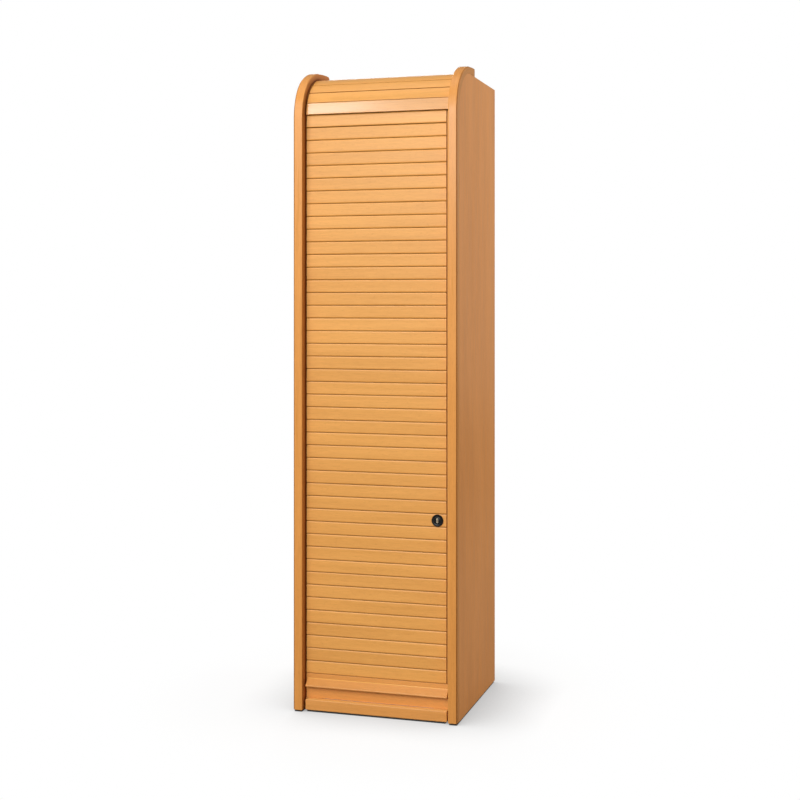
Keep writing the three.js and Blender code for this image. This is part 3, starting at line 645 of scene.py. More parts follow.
def bored_tree():
    """Cuts a track, and a bit's copies at the places of another mesh, out of a board."""
    names = ("Places", "Bit", "Track")
    tree, given = new_tree("bored_board", [
        *((name, "NodeSocketObject") for name in names), ("Material", "NodeSocketMaterial"),
    ])
    places, bit, track = [
        add(tree, "GeometryNodeObjectInfo", {"Object": given[name]}).outputs["Geometry"]
        for name in names
    ]
    holes = add(tree, "GeometryNodeInstanceOnPoints", {"Points": places, "Instance": bit})
    real_holes = add(tree, "GeometryNodeRealizeInstances", {"Geometry": holes.outputs[0]})
    board = given["Geometry"]
    for cutter in (track, real_holes.outputs[0]):
        cut = add(tree, "GeometryNodeMeshBoolean", {0: board, 1: cutter}, operation="DIFFERENCE")
        board = cut.outputs[0]
    return end_tree(tree, board, given["Material"])


def places_piece(name, places):
    """A mesh of single vertices, each with the angles that its copy is turned by."""
    mesh = bpy.data.meshes.new(name)
    mesh.from_pydata([tuple(place) for place, _ in places], [], [])
    turns = mesh.attributes.new("turn", "FLOAT_VECTOR", "POINT")
    for i, (_, turn) in enumerate(places):
        turns.data[i].vector = turn
    return new_object(name, mesh)


def zinc_copies(name, places, template, nodes):
    """One piece of zinc plated copies of a template, in place of the nodes."""
    piece = places_piece(name, places)
    run_tree(piece, copies_tree(), template=template, material=MATERIALS["zinc"])
    discard(template)
    settle(piece, None, "carcase", "zinc_steel", *nodes)


# Stage


class CABINET_OT_stage(bpy.types.Operator):
    """Set up the camera, the floor and the soft studio light"""

    bl_idname = "cabinet.stage"
    bl_label = "Stage"

    # The camera is fitted to the photograph: lens in millimetres, shift in picture widths
    lens = 62.24
    shift = (-0.00063, -0.12294)
    tripod = (0.98151, -3.23905, 0.96509)
    heading = math.radians(16.749)
    # name, place, aim, size, watts
    lamps = [
        ("key_light", (-0.6, -2.0, 2.7), (0, -0.1, 1.0), 1.0, 5),
        ("glint_light", (-1.12, -2.0, 2.77), (0, -0.1, 1.0), 0.7, 8),
        ("window_light", (-1.05, -3.4, 2.1), (0, -0.1, 1.0), 1.2, 17.5),
        ("far_light", (-0.15, -7.0, 3.0), (0, -0.1, 0.7), 2.4, 270),
        ("right_light", (2.4, 0.95, 1.8), (0.1, 0, 0.9), 1.4, 31),
        ("top_light", (-0.3, -0.4, 3.2), (0, -0.1, 0.6), 1.2, 6.2),
        ("rear_light", (-0.9, 3.0, 1.9), (0, 0.1, 0.8), 1.4, 42),
    ]
    white = (1, 1, 1, 1)
    room_light = (1, 0.95, 0.88, 1)
    # What the floor shows to the cabinet, which is a warmer grey than the camera sees
    floor_bounce = (0.26, 0.22, 0.18, 1)
    floor_reach = 9
    # The contact shadow leans to the right and away from the front, as the light comes from the
    # front left
    shadow_lean = {"X": -0.2, "Y": -0.21, "Z": 0.95}
    shadow_reach = 0.19
    # The floor's brightness under a closed sky, what an open one adds, and its share of real light
    shadow_light = 0.25
    sky_light = 0.76
    lamp_share = 0.12
    # Between these distances from the middle the floor clears to white
    clear_from = 0.35
    clear_to = 0.7

    def execute(self, context):
        scene = context.scene
        camera = bpy.data.cameras.new("camera")
        camera.sensor_width = 36
        camera.lens = self.lens
        camera.shift_x, camera.shift_y = self.shift
        scene.camera = new_object("camera", camera)
        scene.camera.location = self.tripod
        scene.camera.rotation_euler = (QUARTER, 0, self.heading)
        scene.view_settings.view_transform = "Standard"
        self.world(scene)
        self.floor()
        for name, place, aim, size, watts in self.lamps:
            lamp = bpy.data.lights.new(name, "AREA")
            lamp.shape = "DISK"
            lamp.size = size
            lamp.energy = watts
            stand = new_object(name, lamp)
            stand.location = place
            sight = Vector(aim) - Vector(place)
            stand.rotation_euler = sight.to_track_quat("-Z", "Y").to_euler()
        return {"FINISHED"}

    def world(self, scene):
        """White to the camera, and a plain warm light otherwise."""
        scene.world = bpy.data.worlds.new("studio")
        tree = empty_tree(scene.world)
        path = add(tree, "ShaderNodeLightPath")
        light = add(tree, "ShaderNodeBackground", {"Color": self.room_light, "Strength": 0.3})
        white = add(tree, "ShaderNodeBackground", {"Color": self.white, "Strength": 1.0})
        both = add(tree, "ShaderNodeMixShader", {
            0: path.outputs["Is Camera Ray"], 1: light.outputs[0], 2: white.outputs[0],
        })
        add(tree, "ShaderNodeOutputWorld", {"Surface": both.outputs[0]})

    def floor(self):
        """A pale floor that keeps the cabinet's shadow and clears to white away from it."""
        mesh = bpy.data.meshes.new("floor")
        half = self.floor_reach
        corners = rectangle(-half, -half, half, half)
        mesh.from_pydata([(x, y, 0) for y, x in corners], [], [(0, 1, 2, 3)])
        piece = new_object("floor", mesh)
        material = bpy.data.materials.new("studio_floor")
        tree = empty_tree(material)
        matt = add(tree, "ShaderNodeBsdfDiffuse", {"Color": self.floor_bounce})
        pale = add(tree, "ShaderNodeBsdfDiffuse", {"Color": colours().floor})
        lean = add(tree, "ShaderNodeCombineXYZ", self.shadow_lean).outputs[0]
        near = add(tree, "ShaderNodeAmbientOcclusion", {
            "Distance": self.shadow_reach, "Normal": lean,
        }, samples=16)
        open_sky = add(tree, "ShaderNodeMath", {
            0: near.outputs["AO"], 1: self.sky_light, 2: self.shadow_light,
        }, operation="MULTIPLY_ADD").outputs[0]
        glow = add(tree, "ShaderNodeEmission", {"Color": self.white, "Strength": open_sky})
        bright = add(tree, "ShaderNodeMixShader", {
            0: self.lamp_share, 1: glow.outputs[0], 2: pale.outputs[0],
        })
        place = add(tree, "ShaderNodeTexCoord").outputs["Object"]
        away = add(tree, "ShaderNodeVectorMath", {0: place}, operation="LENGTH").outputs["Value"]
        clear = add(tree, "ShaderNodeMapRange", {
            "Value": away, "From Min": self.clear_from, "From Max": self.clear_to,
            "To Min": 0.0, "To Max": 1.0,
        }, interpolation_type="SMOOTHSTEP").outputs["Result"]
        white = add(tree, "ShaderNodeEmission", {"Color": self.white, "Strength": 1.0})
        seen = add(tree, "ShaderNodeMixShader", {
            0: clear, 1: bright.outputs[0], 2: white.outputs[0],
        })
        path = add(tree, "ShaderNodeLightPath")
        both = add(tree, "ShaderNodeMixShader", {
            0: path.outputs["Is Camera Ray"], 1: matt.outputs[0], 2: seen.outputs[0],
        })
        add(tree, "ShaderNodeOutputMaterial", {"Surface": both.outputs[0]})
        mesh.materials.append(material)


class CABINET_OT_finishes(bpy.types.Operator):
    """Make the finishes and give them to the frame's own boards and fittings"""

    bl_idname = "cabinet.finishes"
    bl_label = "Finishes"

    def execute(self, context):
        MATERIALS.update(make_materials())
        for subpart in frame["record"]["subparts"]:
            node = frame["nodes"][subpart["node"]]
            node.data.materials.clear()
            node.data.materials.append(MATERIALS[SLOT_FINISHES[subpart["material_slot"]]])
        return {"FINISHED"}


# Carcase


class CABINET_OT_side_boards(bpy.types.Operator):
    """Make the veneered side boards with their routed track and shelf-pin holes"""

    bl_idname = "cabinet.side_boards"
    bl_label = "Side boards"

    bend_steps = 40
    track_steps = 20
    softening = 0.4 * MM
    smooth_below = 20
    holes_per_shelf = 3
    hole_raster = 32 * MM
    hole_depth = 10 * MM
    pin_clearance = 0.3 * MM
    overrun = 2 * MM
    track_clearance = 0.5 * MM

    def execute(self, context):
        angles = spread(0, QUARTER, self.bend_steps)
        arc = [on_bend(cover_radius(), angle) for angle in angles]
        rear = [(SIDE_HIGH.y, SIDE_HIGH.z), (SIDE_HIGH.y, SIDE_LOW.z)]
        outline = [(SIDE_LOW.y, SIDE_LOW.z), *arc, *rear]
        # Painted shade: the narrow inner face in front of the track, in the slit beside the door,
        # is painted dark
        wall = CURTAIN_LOW.y + sizes().slat_thickness - sizes().track_width + self.overrun
        tree = bored_tree()
        for name, side in SIDES:
            ends = sorted((side * INNER, side * SIDE_HIGH.x))
            board = prism(
                f"veneered_side_{name}", outline, *ends, self.softening,
                smooth_below=self.smooth_below,
            )
            cutters = {
                "track": self.track(side), "bit": self.bit(),
                "places": places_piece("holes", [(hole, (0, 0, 0)) for hole in self.holes(side)]),
            }
            run_tree(board, tree, material=MATERIALS["veneer_upright"], **cutters)
            discard(*cutters.values())
            sharpen(board, self.smooth_below)
            paint_shade_and_highlight(board, lambda point: float(abs(point.x) < INNER + HAIR and point.y < wall))
            settle(board, None, "carcase", "beech_veneer", f"side_board_{name}")
        return {"FINISHED"}

    def track(self, side):
        """The cutter for the track: up the front, over the top and down at the rear."""
        size = sizes()
        radius, half = size.bend_radius, size.track_width / 2
        front = CURTAIN_LOW.y + size.slat_thickness - half + self.track_clearance
        rear = FRONT + size.track_rear
        stations = [((front, END_LOW.z), (-1, 0))]
        for centre, start in ((front + radius, 0), (rear - radius, QUARTER)):
            for angle in spread(start, start + QUARTER, self.track_steps):
                stations.append(on_arc((centre, size.bend_start), radius, angle))
        stations.append(((rear, size.track_end), (1, 0)))
        ends = sorted((side * (INNER - self.overrun), side * (INNER + size.track_depth)))
        return prism("track", strip(stations, half, -half), *ends)

    def bit(self):
        """The drill for one shelf-pin hole, about the origin and along x."""
        radius = PIN_RADIUS + self.pin_clearance
        angles = spread(0, 2 * math.pi, 16)[:-1]
        ring = [(radius * math.cos(angle), radius * math.sin(angle)) for angle in angles]
        return prism("bit", ring, -self.hole_depth, self.hole_depth)

    def holes(self, side):
        """The places of the shelf-pin holes: one at each pin, one below it and one above it."""
        for shelf in (1, 2, 3):
            for pin in (1, 2):
                middle = node_middle(f"shelf_{shelf}_pin_{pin}")
                for k in range(self.holes_per_shelf):
                    rise = (k - (self.holes_per_shelf - 1) / 2) * self.hole_raster
                    yield side * INNER, middle.y, middle.z + rise


class CABINET_OT_edgings(bpy.types.Operator):
    """Make the solid edgings that run up the front, round the top and end in a rounded nose"""

    bl_idname = "cabinet.edgings"
    bl_label = "Edgings"

    bend_steps = 40
    corner_steps = 7
    end_steps = 10
    nose_steps = 14
    foot_steps = 4
    foot_radius = 1.6 * MM
    cover_gap = 0.15 * MM
    flank = 0.8 * MM
    # The strip gets thinner from the first share of the bend to the second one, and then gives a
    # part of that back
    bend_easing = 3.2 * MM
    easing_shares = (0.35, 0.75)
    easing_return = 0.45
    end_rise = 1.2 * MM
    end_reach = 22 * MM
    end_thickness = 1 * MM
    nose_radius = 10 * MM
    plan_reach = 30 * MM
    tip_width = 5 * MM
    # Painted shade: on the bend, growing as it turns upwards, and on the inner side at its front
    # and in its depth; the right edging's inner corner gets a painted highlight instead
    bend_painted_shade = 0.12
    inner_shade_and_highlight = {-1: (0.28, 0.65), 1: (-1.0, 0.4)}
    # The painted shade line on the outer corner, where the face turns from the front light to the
    # side light: its middle and reach in shares of the turn, and how much it fades by the top of
    # the bend
    shade_line_middle = 0.52
    shade_line_reach = 0.5
    shade_line_fading = 0.65

    def execute(self, context):
        for name, side in SIDES:
            rings, grain, shades = [], [], []
            run, last = 0, None
            for (y, z), out, deep, *cuts in self.stations():
                run += math.dist(last or (y, z), (y, z))
                last = (y, z)
                rings.append([])
                for x, d, shade in self.section(side, out[1], deep, *cuts):
                    rings[-1].append((side * (INNER + x), y + out[0] * d, z + out[1] * d))
                    grain.append((x + 2 * side, d, run))
                    shades.append(shade + self.bend_painted_shade * out[1])
            points, faces = swept(rings)
            piece = new_piece(f"solid_edging_{name}", points, faces, 40)
            self.lay_grain(piece, points, grain, shades)
            settle(piece, "upright", "carcase", "solid_beech", f"edging_{name}")
        return {"FINISHED"}

    def lay_grain(self, piece, points, grain, shades):
        """Keeps for each vertex its place across, into and along the strip, so that the grain
        follows the bend, and its painted shade or painted highlight."""
        known = KDTree(len(points))
        for i, point in enumerate(points):
            known.insert(point, i)
        known.balance()
        laid = piece.data.attributes.new("grain", "FLOAT_VECTOR", "POINT")
        for i, vertex in enumerate(piece.data.vertices):
            laid.data[i].vector = grain[known.find(vertex.co)[1]]
        paint_shade_and_highlight(piece, lambda point: shades[known.find(point)[1]])

    def stations(self):
        """Places along the strip: a point on its inner line, the way out, the depth, and how much
        is cut away at the inner and at the outer side."""
        radius = cover_radius() + self.cover_gap
        full = sizes().edging_radius - radius
        for angle in spread(0, QUARTER, self.foot_steps):
            cut = self.foot_radius * (1 - math.sin(angle))
            height = EDGING_LOW.z + self.foot_radius * (1 - math.cos(angle))
            yield (FRONT + full, height), (-1, 0), full - cut, cut, cut
        for angle in spread(0, QUARTER, self.bend_steps):
            deep = full - self.easing(angle / QUARTER)
            yield *on_arc(bend_centre(), radius, angle), deep, 0, 0
        y, top = bend_centre()[0], bend_centre()[1] + radius
        nose, end = self.nose_radius, EDGING_HIGH.y + self.end_reach
        eased, raised = full - self.easing(1), full + self.end_rise
        for t in spread(0, 1, self.end_steps)[1:-1]:
            here = y + (end - nose - y) * t
            deep = eased + (raised - eased) * (1 - (1 - t) ** 2)
            yield (here, top), (0, 1), deep, 0, self.plan_cut(here, end)
        for angle in spread(0, QUARTER, self.nose_steps)[:-1]:
            deep = raised - nose + nose * math.cos(angle)
            here = end - nose + nose * math.sin(angle)
            yield (here, top), (0, 1), deep, 0, self.plan_cut(here, end)
        yield (end, top), (0, 1), self.end_thickness, 0, self.plan_cut(end, end)

    def plan_cut(self, y, end):
        """How much the outer side is cut away near the end, which is rounded in plan."""
        share = max(0, 1 - (end - y) / self.plan_reach)
        return (SIDE_HIGH.x - INNER - self.tip_width) * (1 - math.sqrt(1 - share ** 2))

    def easing(self, share):
        """How much thinner the strip is on the bend, from share 0 at its foot to 1 at its top."""
        first, second = self.easing_shares
        if share < first:
            return 0
        t = (share - first) / (second - first)
        if t < 1:
            return self.bend_easing * t * t * (3 - 2 * t)
        return self.bend_easing * (1 - self.easing_return * (share - second) / (1 - second))

    def section(self, side, rise, deep, inner_cut, outer_cut):
        """The strip's section as (across, outwards, shade): painted shade on the door's side and in
        a fine line along the outer corner, which fades as the bend rises to 1; below zero the shade
        is a painted highlight."""
        low, high = inner_cut, SIDE_HIGH.x - INNER - outer_cut
        corner = min(sizes().edging_corner, deep * 0.9, (high - low) * 0.42)
        inner = min(sizes().edging_inner_corner, corner)
        beside = min(self.flank, (deep - corner) / 2)
        flat = min(self.flank, (high - low - corner - inner) / 3)
        near_shade, deep_shade = self.inner_shade_and_highlight[side]
        near_shade *= 1 - 0.6 * rise
        deep_shade += (1 - deep_shade) * min(1, 2 * rise)
        angles = spread(0, QUARTER, self.corner_steps)
        section = [(high, 0, 0), (high, deep - corner - beside, 0)]
        for angle in angles:
            off = abs(angle / QUARTER - self.shade_line_middle) / self.shade_line_reach
            line = (1 - self.shade_line_fading * rise) * max(0, 1 - off)
            x = high - corner + corner * math.cos(angle)
            section.append((x, deep - corner + corner * math.sin(angle), line))
        section += [(high - corner - flat, deep, 0), (low + inner + flat, deep, 0)]
        for angle in angles:
            x = low + inner - inner * math.sin(angle)
            d = deep - inner + inner * math.cos(angle)
            section.append((x, d, near_shade * angle / QUARTER))
        wall = deep - inner - beside
        between = near_shade + 0.4 * (deep_shade - near_shade)
        return section + [(low, wall, near_shade), (low, 0.4 * wall, between), (low, 0, deep_shade)]


class CABINET_OT_header_and_cover(bpy.types.Operator):
    """Make the header rail over the door and the curved cover with its two grooves"""

    bl_idname = "cabinet.header_and_cover"
    bl_label = "Header and cover"

    groove_count = 2
    end_gap = 2 * MM
    end_depth = 3.4 * MM
    header_lift = 1.3 * MM
    header_proud = 0.6 * MM
    cover_gap = 0.3 * MM
    groove_softening = 0.35 * MM
    end_softening = 0.3 * MM
    inner_steps = 40
    outer_step = math.radians(2)

    def execute(self, context):
        size = sizes()
        outer, inner = cover_radius(), cover_radius() - size.cover_thickness
        low = math.asin((HEADER_LOW.z - bend_centre()[1]) / outer)
        pitch = size.slat_pitch / outer
        top = low + pitch
        # The header's front is planed flat, and its long edges are rounded by about a millimetre
        foot, face = low + self.header_lift / outer, outer + self.header_proud
        front = [(*on_bend(face, foot), 1.1 * MM), (*on_bend(face, top), 1.4 * MM)]
        back = [(*on_bend(inner, angle), 0) for angle in spread(top, foot, 2)]
        header = self.stepped("header", rounded(front + back, 0), outer - self.end_depth + HAIR)
        settle(header, "header", "carcase", "solid_beech", "header_rail")
        start, end = top + self.cover_gap / outer, QUARTER - self.cover_gap / outer
        reach, soft = size.cover_groove_width / 2 / outer, self.groove_softening
        bottom = outer - size.cover_groove_depth
        outline = []
        for i in range(self.groove_count + 1):
            first = start if i == 0 else top + pitch * i - reach
            a = top + pitch * i + reach
            b = top + pitch * (i + 1) - reach if i < self.groove_count else end
            edge, ledge, flat = [a + soft * t / outer for t in (0.3, 1, 2.2)]
            last = b - soft / outer
            count = max(3, round((last - flat) / self.outer_step))
            outline += [on_bend(bottom, first), on_bend(bottom, a), on_bend(outer - soft, a)]
            outline += [on_bend(outer - soft * 0.3, edge), on_bend(outer, ledge)]
            outline += [on_bend(outer, angle) for angle in spread(flat, last, count)]
            outline.append(on_bend(outer - soft, b))
        outline += [on_bend(inner, angle) for angle in spread(end, start, self.inner_steps)]
        cover = self.stepped("curved_cover_panel", outline, bottom + 2 * HAIR)
        settle(cover, "slats", "carcase", "beech_slats", "curved_cover")
        return {"FINISHED"}

    def stepped(self, name, outline, painted_shade_below):
        """A body along x whose ends are stepped down, as a narrow gap beside the edgings. Below a
        radius it is painted dark, a painted shade in that gap and, on the cover, in its grooves."""
        y, z = bend_centre()
        lowered = []
        for point in outline:
            share = min(1, (cover_radius() - self.end_depth) / math.dist(point, (y, z)))
            lowered.append((y + (point[0] - y) * share, z + (point[1] - z) * share))
        eased = [tuple(Vector(p).lerp(Vector(q), 0.1)) for p, q in zip(outline, lowered)]
        end, inner, soft = COVER_HIGH.x, COVER_HIGH.x - self.end_gap, self.end_softening
        stations = [
            (end, lowered), (inner, lowered), (inner, eased), (inner - soft, outline),
            (inner - 2 * soft, outline),
        ]
        rings = [[(-x, *point) for point in ring] for x, ring in stations]
        rings += [[(x, *point) for point in ring] for x, ring in reversed(stations)]
        piece = new_piece(name, *swept(rings), 30)
        paint_shade_and_highlight(piece, lambda point: float(math.dist(point.yz, (y, z)) < painted_shade_below))
        return piece


class CABINET_OT_plinth(bpy.types.Operator):
    """Make the plinth rail with its rounded upper edge"""

    bl_idname = "cabinet.plinth"
    bl_label = "Plinth"

    def execute(self, context):
        low, high = PLINTH_LOW, PLINTH_HIGH
        corners = rectangle(low.y, low.z, high.y, high.z)
        corners[1] = (*corners[1], 2 * MM)
        rail = prism("plinth", rounded(corners, 1.6 * MM), low.x, high.x, soft=0.8 * MM, steps=3)
        # Painted highlight: the plinth's upper edge is painted paler
        paint_shade_and_highlight(rail, lambda point: -0.9 if point.z > high.z - 0.4 * MM else 0)
        settle(rail, "across", "carcase", "solid_beech", "plinth_rail")
        return {"FINISHED"}


class CABINET_OT_shelves(bpy.types.Operator):
    """Make the shelves with their edge bands, and the pins that carry them"""

    bl_idname = "cabinet.shelves"
    bl_label = "Shelves and pins"

    edge_rounding = 1.2 * MM
    pin_in_board = 8 * MM
    collar_radius = PIN_RADIUS + 0.9 * MM
    collar_width = 0.7 * MM

    def execute(self, context):
        places, pins = [], []
        for number in (1, 2, 3):
            low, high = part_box(f"shelf_{number}")
            outline = rounded(rectangle(low.y, low.z, high.y, high.z), self.edge_rounding, 3)
            shelf = prism(f"veneered_shelf_{number}", outline, low.x, high.x, soft=0.6 * MM)
            for finish in ("veneer_across", "across"):
                shelf.data.materials.append(MATERIALS[finish])
            for face in shelf.data.polygons:
                face.material_index = int(face.normal.y < -0.5)
            settle(shelf, None, "carcase", "beech_veneer", f"shelf_{number}")
            for pin in (1, 2, 3, 4):
                pins.append(f"shelf_{number}_pin_{pin}")
                middle = node_middle(pins[-1])
                side = 1 if middle.x > 0 else -1
                places.append(((side * INNER, middle.y, middle.z), (0, 0, -side * QUARTER)))
        zinc_copies("shelf_pins", places, self.pin(), pins)
        return {"FINISHED"}

    def pin(self):
        """One pin about the origin, along y, with its collar against the board and its tip
        towards +y."""
        radius, collar, inside = PIN_RADIUS, self.collar_radius, self.pin_in_board
        outside = PIN_HIGH.x - PIN_LOW.x - inside
        profile = [
            (radius - 0.8 * MM, inside), (radius, inside - 0.8 * MM), (radius, 0),
            (collar, -HAIR / 2), (collar, -self.collar_width), (radius, -self.collar_width - HAIR),
            (radius, -outside + 0.7 * MM), (radius - 0.7 * MM, -outside),
        ]
        return turned("pin", profile, (0, 0), 20)


class CABINET_OT_back_screws(bpy.types.Operator):
    """Make the cross-head screws of the back panel and of the strike"""

    bl_idname = "cabinet.back_screws"
    bl_label = "Screws"

    head_height = 2.2 * MM
    # name, number, turn about z from a head towards +y, head radius, reach and shank radius
    kinds = [
        ("back_screw", 4, 0, 4 * MM, 12 * MM, 2 * MM),
        ("strike_screw", 2, QUARTER, 3.1 * MM, 13.7 * MM, 1.5 * MM),
    ]

    def execute(self, context):
        for name, number, turn, *measures in self.kinds:
            out = Vector((-math.sin(turn), math.cos(turn), 0))
            nodes = [f"{name}_{i + 1}" for i in range(number)]
            places = []
            for node in nodes:
                low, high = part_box(node)
                rise = abs(out.dot(high - low)) / 2 - self.head_height
                places.append((node_middle(node) + out * rise, (0, 0, turn)))
            zinc_copies(f"{name}s", places, self.screw(*measures), nodes)
        return {"FINISHED"}

    def screw(self, radius, reach, shank):
        """A pan-head screw about the origin, with its head towards +y and a cross recess in it."""
        height = self.head_height
        profile = [(shank * 0.4, -reach), (shank, -reach + shank), (shank, 0), (radius * 0.97, 0)]
        # The head's low dome, which starts at a quarter of its height
        for angle in spread(0, QUARTER * 0.92, 5):
            rise = 0.25 + 0.75 * math.sin(angle)
            profile.append((radius * math.cos(angle), height * rise))
        screw = turned("screw", profile, (0, 0), 24)
        long, thin = radius * 0.55, radius * 0.13
        for x, z in ((long, thin), (thin, long)):
            outline = rectangle(height * 0.55, -z, height * 2, z)
            combine(screw, prism("bar", outline, -x, x))
        return screw


# Door


class CABINET_OT_curtain(bpy.types.Operator):
    """Make the slats along the track, with the canvas that joins them"""

    bl_idname = "cabinet.curtain"
    bl_label = "Tambour curtain"

    joint_gap = 0.3 * MM
    tongue_clearance = 0.5 * MM
    tongue_front_clearance = 0.9 * MM
    tongue_end_gap = 0.8 * MM
    short_tongue_gap = 0.5 * MM
    lowest_slat_proud = 0.05 * MM
    gathering_height = 12.4 * MM
    slot_width = 0.9 * MM
    slats_past_header = 2
    canvas_thickness = 0.6 * MM
    canvas_margin = 12 * MM
    canvas_steps = 30
    canvas_bend_steps = 12

    def execute(self, context):
        size = sizes()
        slats_in_sight = self.slats_in_sight()
        tree = slat_tree()
        common = {
            "pitch": size.slat_pitch, "bottom": CURTAIN_LOW.z, "bend_start": size.bend_start,
            "bend_radius": size.bend_radius, "bend_centre": self.middle() + size.bend_radius,
            "material": MATERIALS["slats"],
        }
        # The slats that stand in the bend, and the lowest one, which reaches it at full lift, run
        # without tongues in the track, so that they clear its wall as the door moves straight up
        long_tip = INNER + size.track_depth - self.tongue_end_gap
        short_tip = INNER - self.short_tongue_gap
        lowest = self.slat("lowest_slat", short_tip, self.lowest_slat_proud)
        run_tree(lowest, tree, first=0, count=1, **common)
        settle(lowest, None, "door", "beech_slats")
        slats = self.slat("slats", long_tip)
        run_tree(slats, tree, first=1, count=slats_in_sight - 2, **common)
        self.bore(slats)
        settle(slats, None, "door", "beech_slats", "tambour_curtain")
        bent = self.slat("slats_at_bend", short_tip)
        count = 1 + self.slats_past_header
        run_tree(bent, tree, first=slats_in_sight - 1, count=count, **common)
        settle(bent, None, "door", "beech_slats")
        canvas = self.canvas()
        settle(canvas, "board", "door", "back_board")
        for piece in (slats, bent, canvas):
            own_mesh(piece)
        return {"FINISHED"}

    def slats_in_sight(self):
        """How many slats stand between the end rail and the header."""
        return round((HEADER_LOW.z - CURTAIN_LOW.z) / sizes().slat_pitch)

    def middle(self):
        """The y of the track's middle line at the front."""
        size = sizes()
        return CURTAIN_LOW.y + size.slat_thickness - size.track_width / 2 + self.tongue_clearance

    def slat(self, name, tip, proud=0.0):
        """One slat about the track's middle line, with rounded front edges and a tongue to
        x = tip at each end."""
        size = sizes()
        half = size.slat_pitch / 2 - self.joint_gap / 2
        front = CURTAIN_LOW.y - self.middle() - proud
        back = front + proud + size.slat_thickness
        clearances = self.tongue_clearance + self.tongue_front_clearance
        tongue = back - (size.track_width - clearances)
        slot = size.slat_pitch / 2 - self.slot_width / 2
        bevel = size.slat_pitch / 2 - size.groove_width / 2
        deep = (size.groove_width - self.slot_width) / 2
        face = [
            (front + size.groove_depth, half), (front + size.groove_depth, slot),
            (front + deep, slot), (front + 0.55 * MM, bevel),
            (front + 0.18 * MM, bevel - 0.8 * MM), (front, bevel - 1.7 * MM),
            (front, bevel - 2.6 * MM),
        ]
        face = [(y, -z) for y, z in face] + [(y, z) for y, z in reversed(face)]
        profile = [(tongue, -half), *face, (tongue, half), (back, half), (back, -half)]
        count = len(profile)
        # The tongue starts from four points of the profile
        roots = [0, count - 3, count - 2, count - 1]
        points = []
        for x in (size.slat_gap_left - INNER, INNER - size.slat_gap_right):
            points += [(x, *place) for place in profile]
        for x in (-tip, tip):
            points += [(x, *profile[root]) for root in roots]
        faces = [(i, (i + 1) % count, count + (i + 1) % count, count + i) for i in range(count)]
        for end in (0, 1):
            base, tips = end * count, 2 * count + end * 4
            faces.append(tuple(base + i for i in range(count - 2)))
            for i in range(4):
                j = (i + 1) % 4
                faces.append((base + roots[i], base + roots[j], tips + j, tips + i))
            faces.append(tuple(tips + i for i in range(4)))
        slat = new_piece(name, points, faces, 40)

        # Painted shade: dark in the grooves and behind the faces, on the lower bevels and on the
        # tongues in the slit beside the left edging; lighter beside the right edging
        def lacquer(point):
            depth, right = point.y - front - size.groove_depth, point.x > 0
            if abs(point.x) > tip - HAIR:
                return 0.1 if right else 1
            if depth > -HAIR:
                return 0.4 if right and depth > HAIR else 1
            if point.y - front > 0.6 * MM:
                return 0.7 if point.z < 0 else 0.1
            return 0

        paint_shade_and_highlight(slat, lacquer)
        return slat

    def bore(self, slats):
        """Bores the hole for the lock's barrel."""
        radius = BARREL_RADIUS + self.joint_gap
        profile = [(radius, CURTAIN_LOW.y - 5 * MM), (radius, CURTAIN_LOW.y + 20 * MM)]
        combine(slats, turned("bit", profile, (LOCK_X, LOCK_Z)))
        sharpen(slats, 40)

    def canvas(self):
        """The cloth behind the slats, from the second slat to the last."""
        size = sizes()
        radius, top, middle = size.bend_radius, size.bend_start, self.middle()
        low = CURTAIN_LOW.z + size.slat_pitch + 1 * MM
        stations = [((middle, z), (-1, 0)) for z in spread(low, top, self.canvas_steps)]
        count = self.slats_in_sight() + self.slats_past_header
        past = (CURTAIN_LOW.z + count * size.slat_pitch - top) / radius
        for angle in spread(0, past, self.canvas_bend_steps)[1:]:
            stations.append(on_arc((middle + radius, top), radius, angle))
        near = CURTAIN_LOW.y + size.slat_thickness - middle
        reach = INNER - self.canvas_margin
        outline = strip(stations, -near, -near - self.canvas_thickness)
        return prism("canvas", outline, -reach, reach)


